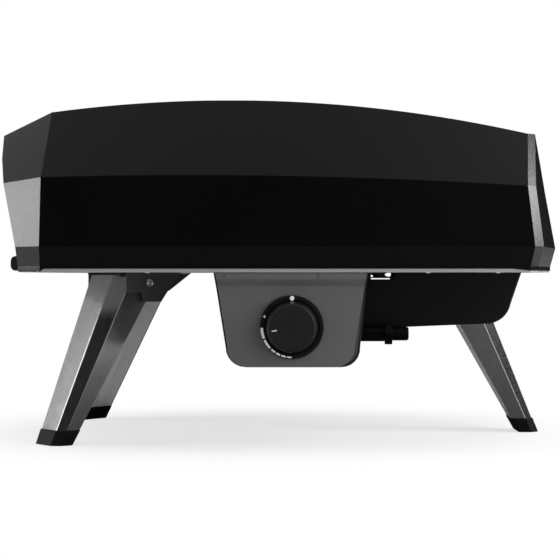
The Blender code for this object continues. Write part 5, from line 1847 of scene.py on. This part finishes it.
@dataclass(frozen=True)
class SoftBox:
    """A soft lamp: its panel, place, aim and brightness, and whether it is mirrored in the oven."""

    name: str
    size: Pair
    place: Point
    aim: Point
    level: float
    mirrored: bool = True

    def build(self) -> None:
        """Hangs the lamp and aims it; level is the brightness of its panel."""
        data = bpy.data.lights.new(self.name, "AREA")
        data.shape = "RECTANGLE"
        data.size, data.size_y = self.size
        data.energy = self.level * math.pi * self.size[0] * self.size[1]
        lamp = link_object(self.name, data)
        lamp.location = self.place
        lamp.rotation_euler = (Vector(self.aim) - Vector(self.place)).to_track_quat("-Z", "Y").to_euler()
        lamp.visible_camera, lamp.visible_glossy = False, self.mirrored
        log.info("lamp %s at level %.2f", self.name, self.level)


@dataclass
class Floor:
    """The pale floor, with painted shade in its reflections close to the oven, and white further away."""

    half: float = 4.0
    level: float = -0.0004
    roughness: float = 0.9
    specular: float = 0.1
    seen_colour: Colour = (0.95, 0.95, 0.95)
    bounce_colour: Colour = (0.72, 0.72, 0.72)
    mirrored_shade_colour: Colour = (0.10, 0.10, 0.10)
    mirrored_shade_edge: Pair = (0.36, 0.52)
    lift: float = 0.64
    fade: Pair = (0.20, 0.45)

    def material(self) -> bpy.types.Material:
        """The floor's colour by kind of ray, lifted to plain white for the camera."""
        made = bpy.data.materials.new("studio_floor")
        paint = Paint(made)
        paint.shader.inputs["Roughness"].default_value = self.roughness
        paint.shader.inputs["Specular IOR Level"].default_value = self.specular
        seen, mirrored = paint.rays("Camera", "Glossy")
        across = paint.value("ShaderNodeSeparateXYZ", None, {"Vector": paint.place}, "X")
        # Rays that mirror the floor near the oven see a dark grey: painted shade in the reflections
        dark = mirrored * (1 - abs(across).ramped(*self.mirrored_shade_edge))
        unseen = paint.blend(dark, self.bounce_colour, self.mirrored_shade_colour)
        paint.colour(paint.over(seen, unseen, self.seen_colour))
        flat = paint.value("ShaderNodeVectorMath", {"operation": "MULTIPLY"},
                           {0: paint.place, 1: (1.0, 1.0, 0.0)}, "Vector")
        away = paint.value("ShaderNodeVectorMath", {"operation": "LENGTH"}, {0: flat}, "Value")
        white = paint.value("ShaderNodeEmission", None, {"Color": (1.0, 1.0, 1.0, 1.0), "Strength": 1.0})
        share = (self.lift + (1 - self.lift) * away.ramped(*self.fade)) * seen
        mixed = paint.value("ShaderNodeMixShader", None,
                            {0: share, 1: Value(paint, paint.shader.outputs[0]), 2: white})
        paint.link(mixed, paint.tree.nodes["Material Output"], "Surface")
        return made

    def build(self) -> None:
        """Lays the floor."""
        rows = [[(-self.half, y, self.level), (self.half, y, self.level)] for y in (-self.half, self.half)]
        data = Shape.loft(rows, caps=False, closed=False).data("studio_floor")
        data.materials.append(self.material())
        link_object("studio_floor", data)


@dataclass
class Surround:
    """The world: white to the camera, with soft panels for everything that mirrors it.

    The spans are parts of a direction's X, Y or Z in which a panel fades in.
    """

    backdrop_depth: Pair = (0.5, 0.8)
    backdrop_side: Pair = (0.05, 0.20)
    left_span: Pair = (0.45, 0.90)
    right_span: Pair = (0.25, 0.90)
    right_depth: Pair = (-0.20, 0.08)
    top_span: Pair = (0.50, 0.85)
    top_level: float = 0.45
    left_level: float = 0.36
    right_level: float = 1.05
    band_foot: Pair = (-0.05, 0.10)
    band_head: Pair = (0.50, 0.70)
    back_depth: Pair = (0.42, 0.58)
    back_side: Pair = (0.45, 0.58)
    back_level: float = 0.85
    back_drop: float = 0.70
    back_drop_span: Pair = (0.0, 0.3)
    plain_level: float = 0.35

    def panels(self, across: Value, depth: Value, rise: Value) -> Value:
        """How bright the mirrored world is in a direction.

        Args:
            across: The direction's X.
            depth: Its Y.
            rise: Its Z.

        Returns:
            The level of the brightest panel there.
        """
        aside = abs(across)
        backdrop = depth.ramped(*self.backdrop_depth) * (1 - aside.ramped(*self.backdrop_side))
        left = (across * -1).ramped(*self.left_span)
        right = across.ramped(*self.right_span) * (1 - depth.ramped(*self.right_depth))
        glow = (rise.ramped(*self.top_span) * self.top_level + left * self.left_level
                + right * self.right_level)
        band = rise.ramped(*self.band_foot) * (1 - rise.ramped(*self.band_head))
        back = depth.ramped(*self.back_depth) * aside.ramped(*self.back_side) * band
        back = back * (self.back_level - across.ramped(*self.back_drop_span) * self.back_drop)
        return backdrop.largest(glow).largest(back)

    def build(self) -> None:
        """Sets the world."""
        world = bpy.data.worlds.new("studio_surround")
        bpy.context.scene.world = world
        world.use_nodes = True
        sky = Graph(world.node_tree)
        seen, glossy, passed = sky.rays("Camera", "Glossy", "Transmission")
        mirrored = glossy + passed
        split = sky.add("ShaderNodeSeparateXYZ", None,
                        {"Vector": sky.value("ShaderNodeTexCoord", output="Generated")})
        panels = self.panels(*(Value(sky, split.outputs[name]) for name in ("X", "Y", "Z")))
        level = seen + (1 - seen) * (mirrored * panels + (1 - mirrored) * self.plain_level)
        shade = sky.tree.nodes["Background"]
        sky.link(level, shade, "Strength")
        shade.inputs["Color"].default_value = (1.0, 1.0, 1.0, 1.0)


@dataclass
class Studio:
    """The floor, the world, the soft boxes and the camera."""

    distance: float = 1.950
    eye_height: float = 0.1743
    lens: float = 111.73
    sensor: float = 36.0
    shift: float = -0.0089
    middle_x: float = -0.00165
    clip: Pair = (0.05, 50.0)
    lamps: tuple[SoftBox, ...] = (
        SoftBox("overhead_box", (1.6, 1.2), (0.0, 0.15, 1.9), (0.0, 0.0, 0.2), 1.8),
        SoftBox("left_strip", (0.33, 0.24), (-0.95, -0.08, 0.35), (-0.26, -0.20, 0.24), 7.2),
        SoftBox("right_strip", (0.36, 0.24), (0.92, -0.20, 0.54), (0.25, -0.20, 0.25), 12.5),
        SoftBox("front_left_box", (1.5, 1.3), (-1.75, -0.95, 1.65), (0.0, -0.1, 0.2), 0.9),
        SoftBox("low_right_card", (0.40, 0.20), (0.80, -0.85, 0.12), (0.0, -0.2, 0.12), 4.5, mirrored=False),
        SoftBox("front_right_box", (1.7, 1.5), (1.6, -1.2, 0.95), (0.0, -0.1, 0.2), 3.0, mirrored=False),
    )

    def camera(self) -> None:
        """Sets the camera where the photograph was taken from."""
        data = bpy.data.cameras.new("photo_camera")
        data.lens, data.sensor_width, data.shift_y = self.lens, self.sensor, self.shift
        data.clip_start, data.clip_end = self.clip
        eye = link_object("photo_camera", data)
        eye.location = (self.middle_x, -self.distance, self.eye_height)
        eye.rotation_euler = (math.radians(90), 0.0, 0.0)
        bpy.context.scene.camera = eye

    def build(self) -> None:
        """Builds the studio."""
        bpy.context.scene.view_settings.view_transform = "Standard"
        self.camera()
        Floor().build()
        Surround().build()
        for lamp in self.lamps:
            lamp.build()


def main() -> None:
    """Builds the studio and the oven."""
    logging.basicConfig(level=logging.INFO, format="%(name)s: %(message)s")
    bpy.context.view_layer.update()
    Studio().build()
    hood, mouth = Hood(), Mouth()
    hood.build(mouth)
    mouth.build(hood)
    splay, front_x, front_y, rear_x = math.radians(37.4), -0.2440, 0.1670, 0.2845
    sections = [Chamber(), Underside(hood), BurnerBox(), Burner(), ControlPanel(), ControlKnob(), GasInlet(),
                FoldingLeg("front_near", math.pi + splay, (front_x, -front_y)),
                FoldingLeg("front_far", math.pi - splay, (front_x, front_y)),
                FoldingLeg("rear", 0.0, (rear_x, 0.0))]
    for section in sections:
        section.build()


if __name__ == "__main__":
    main()
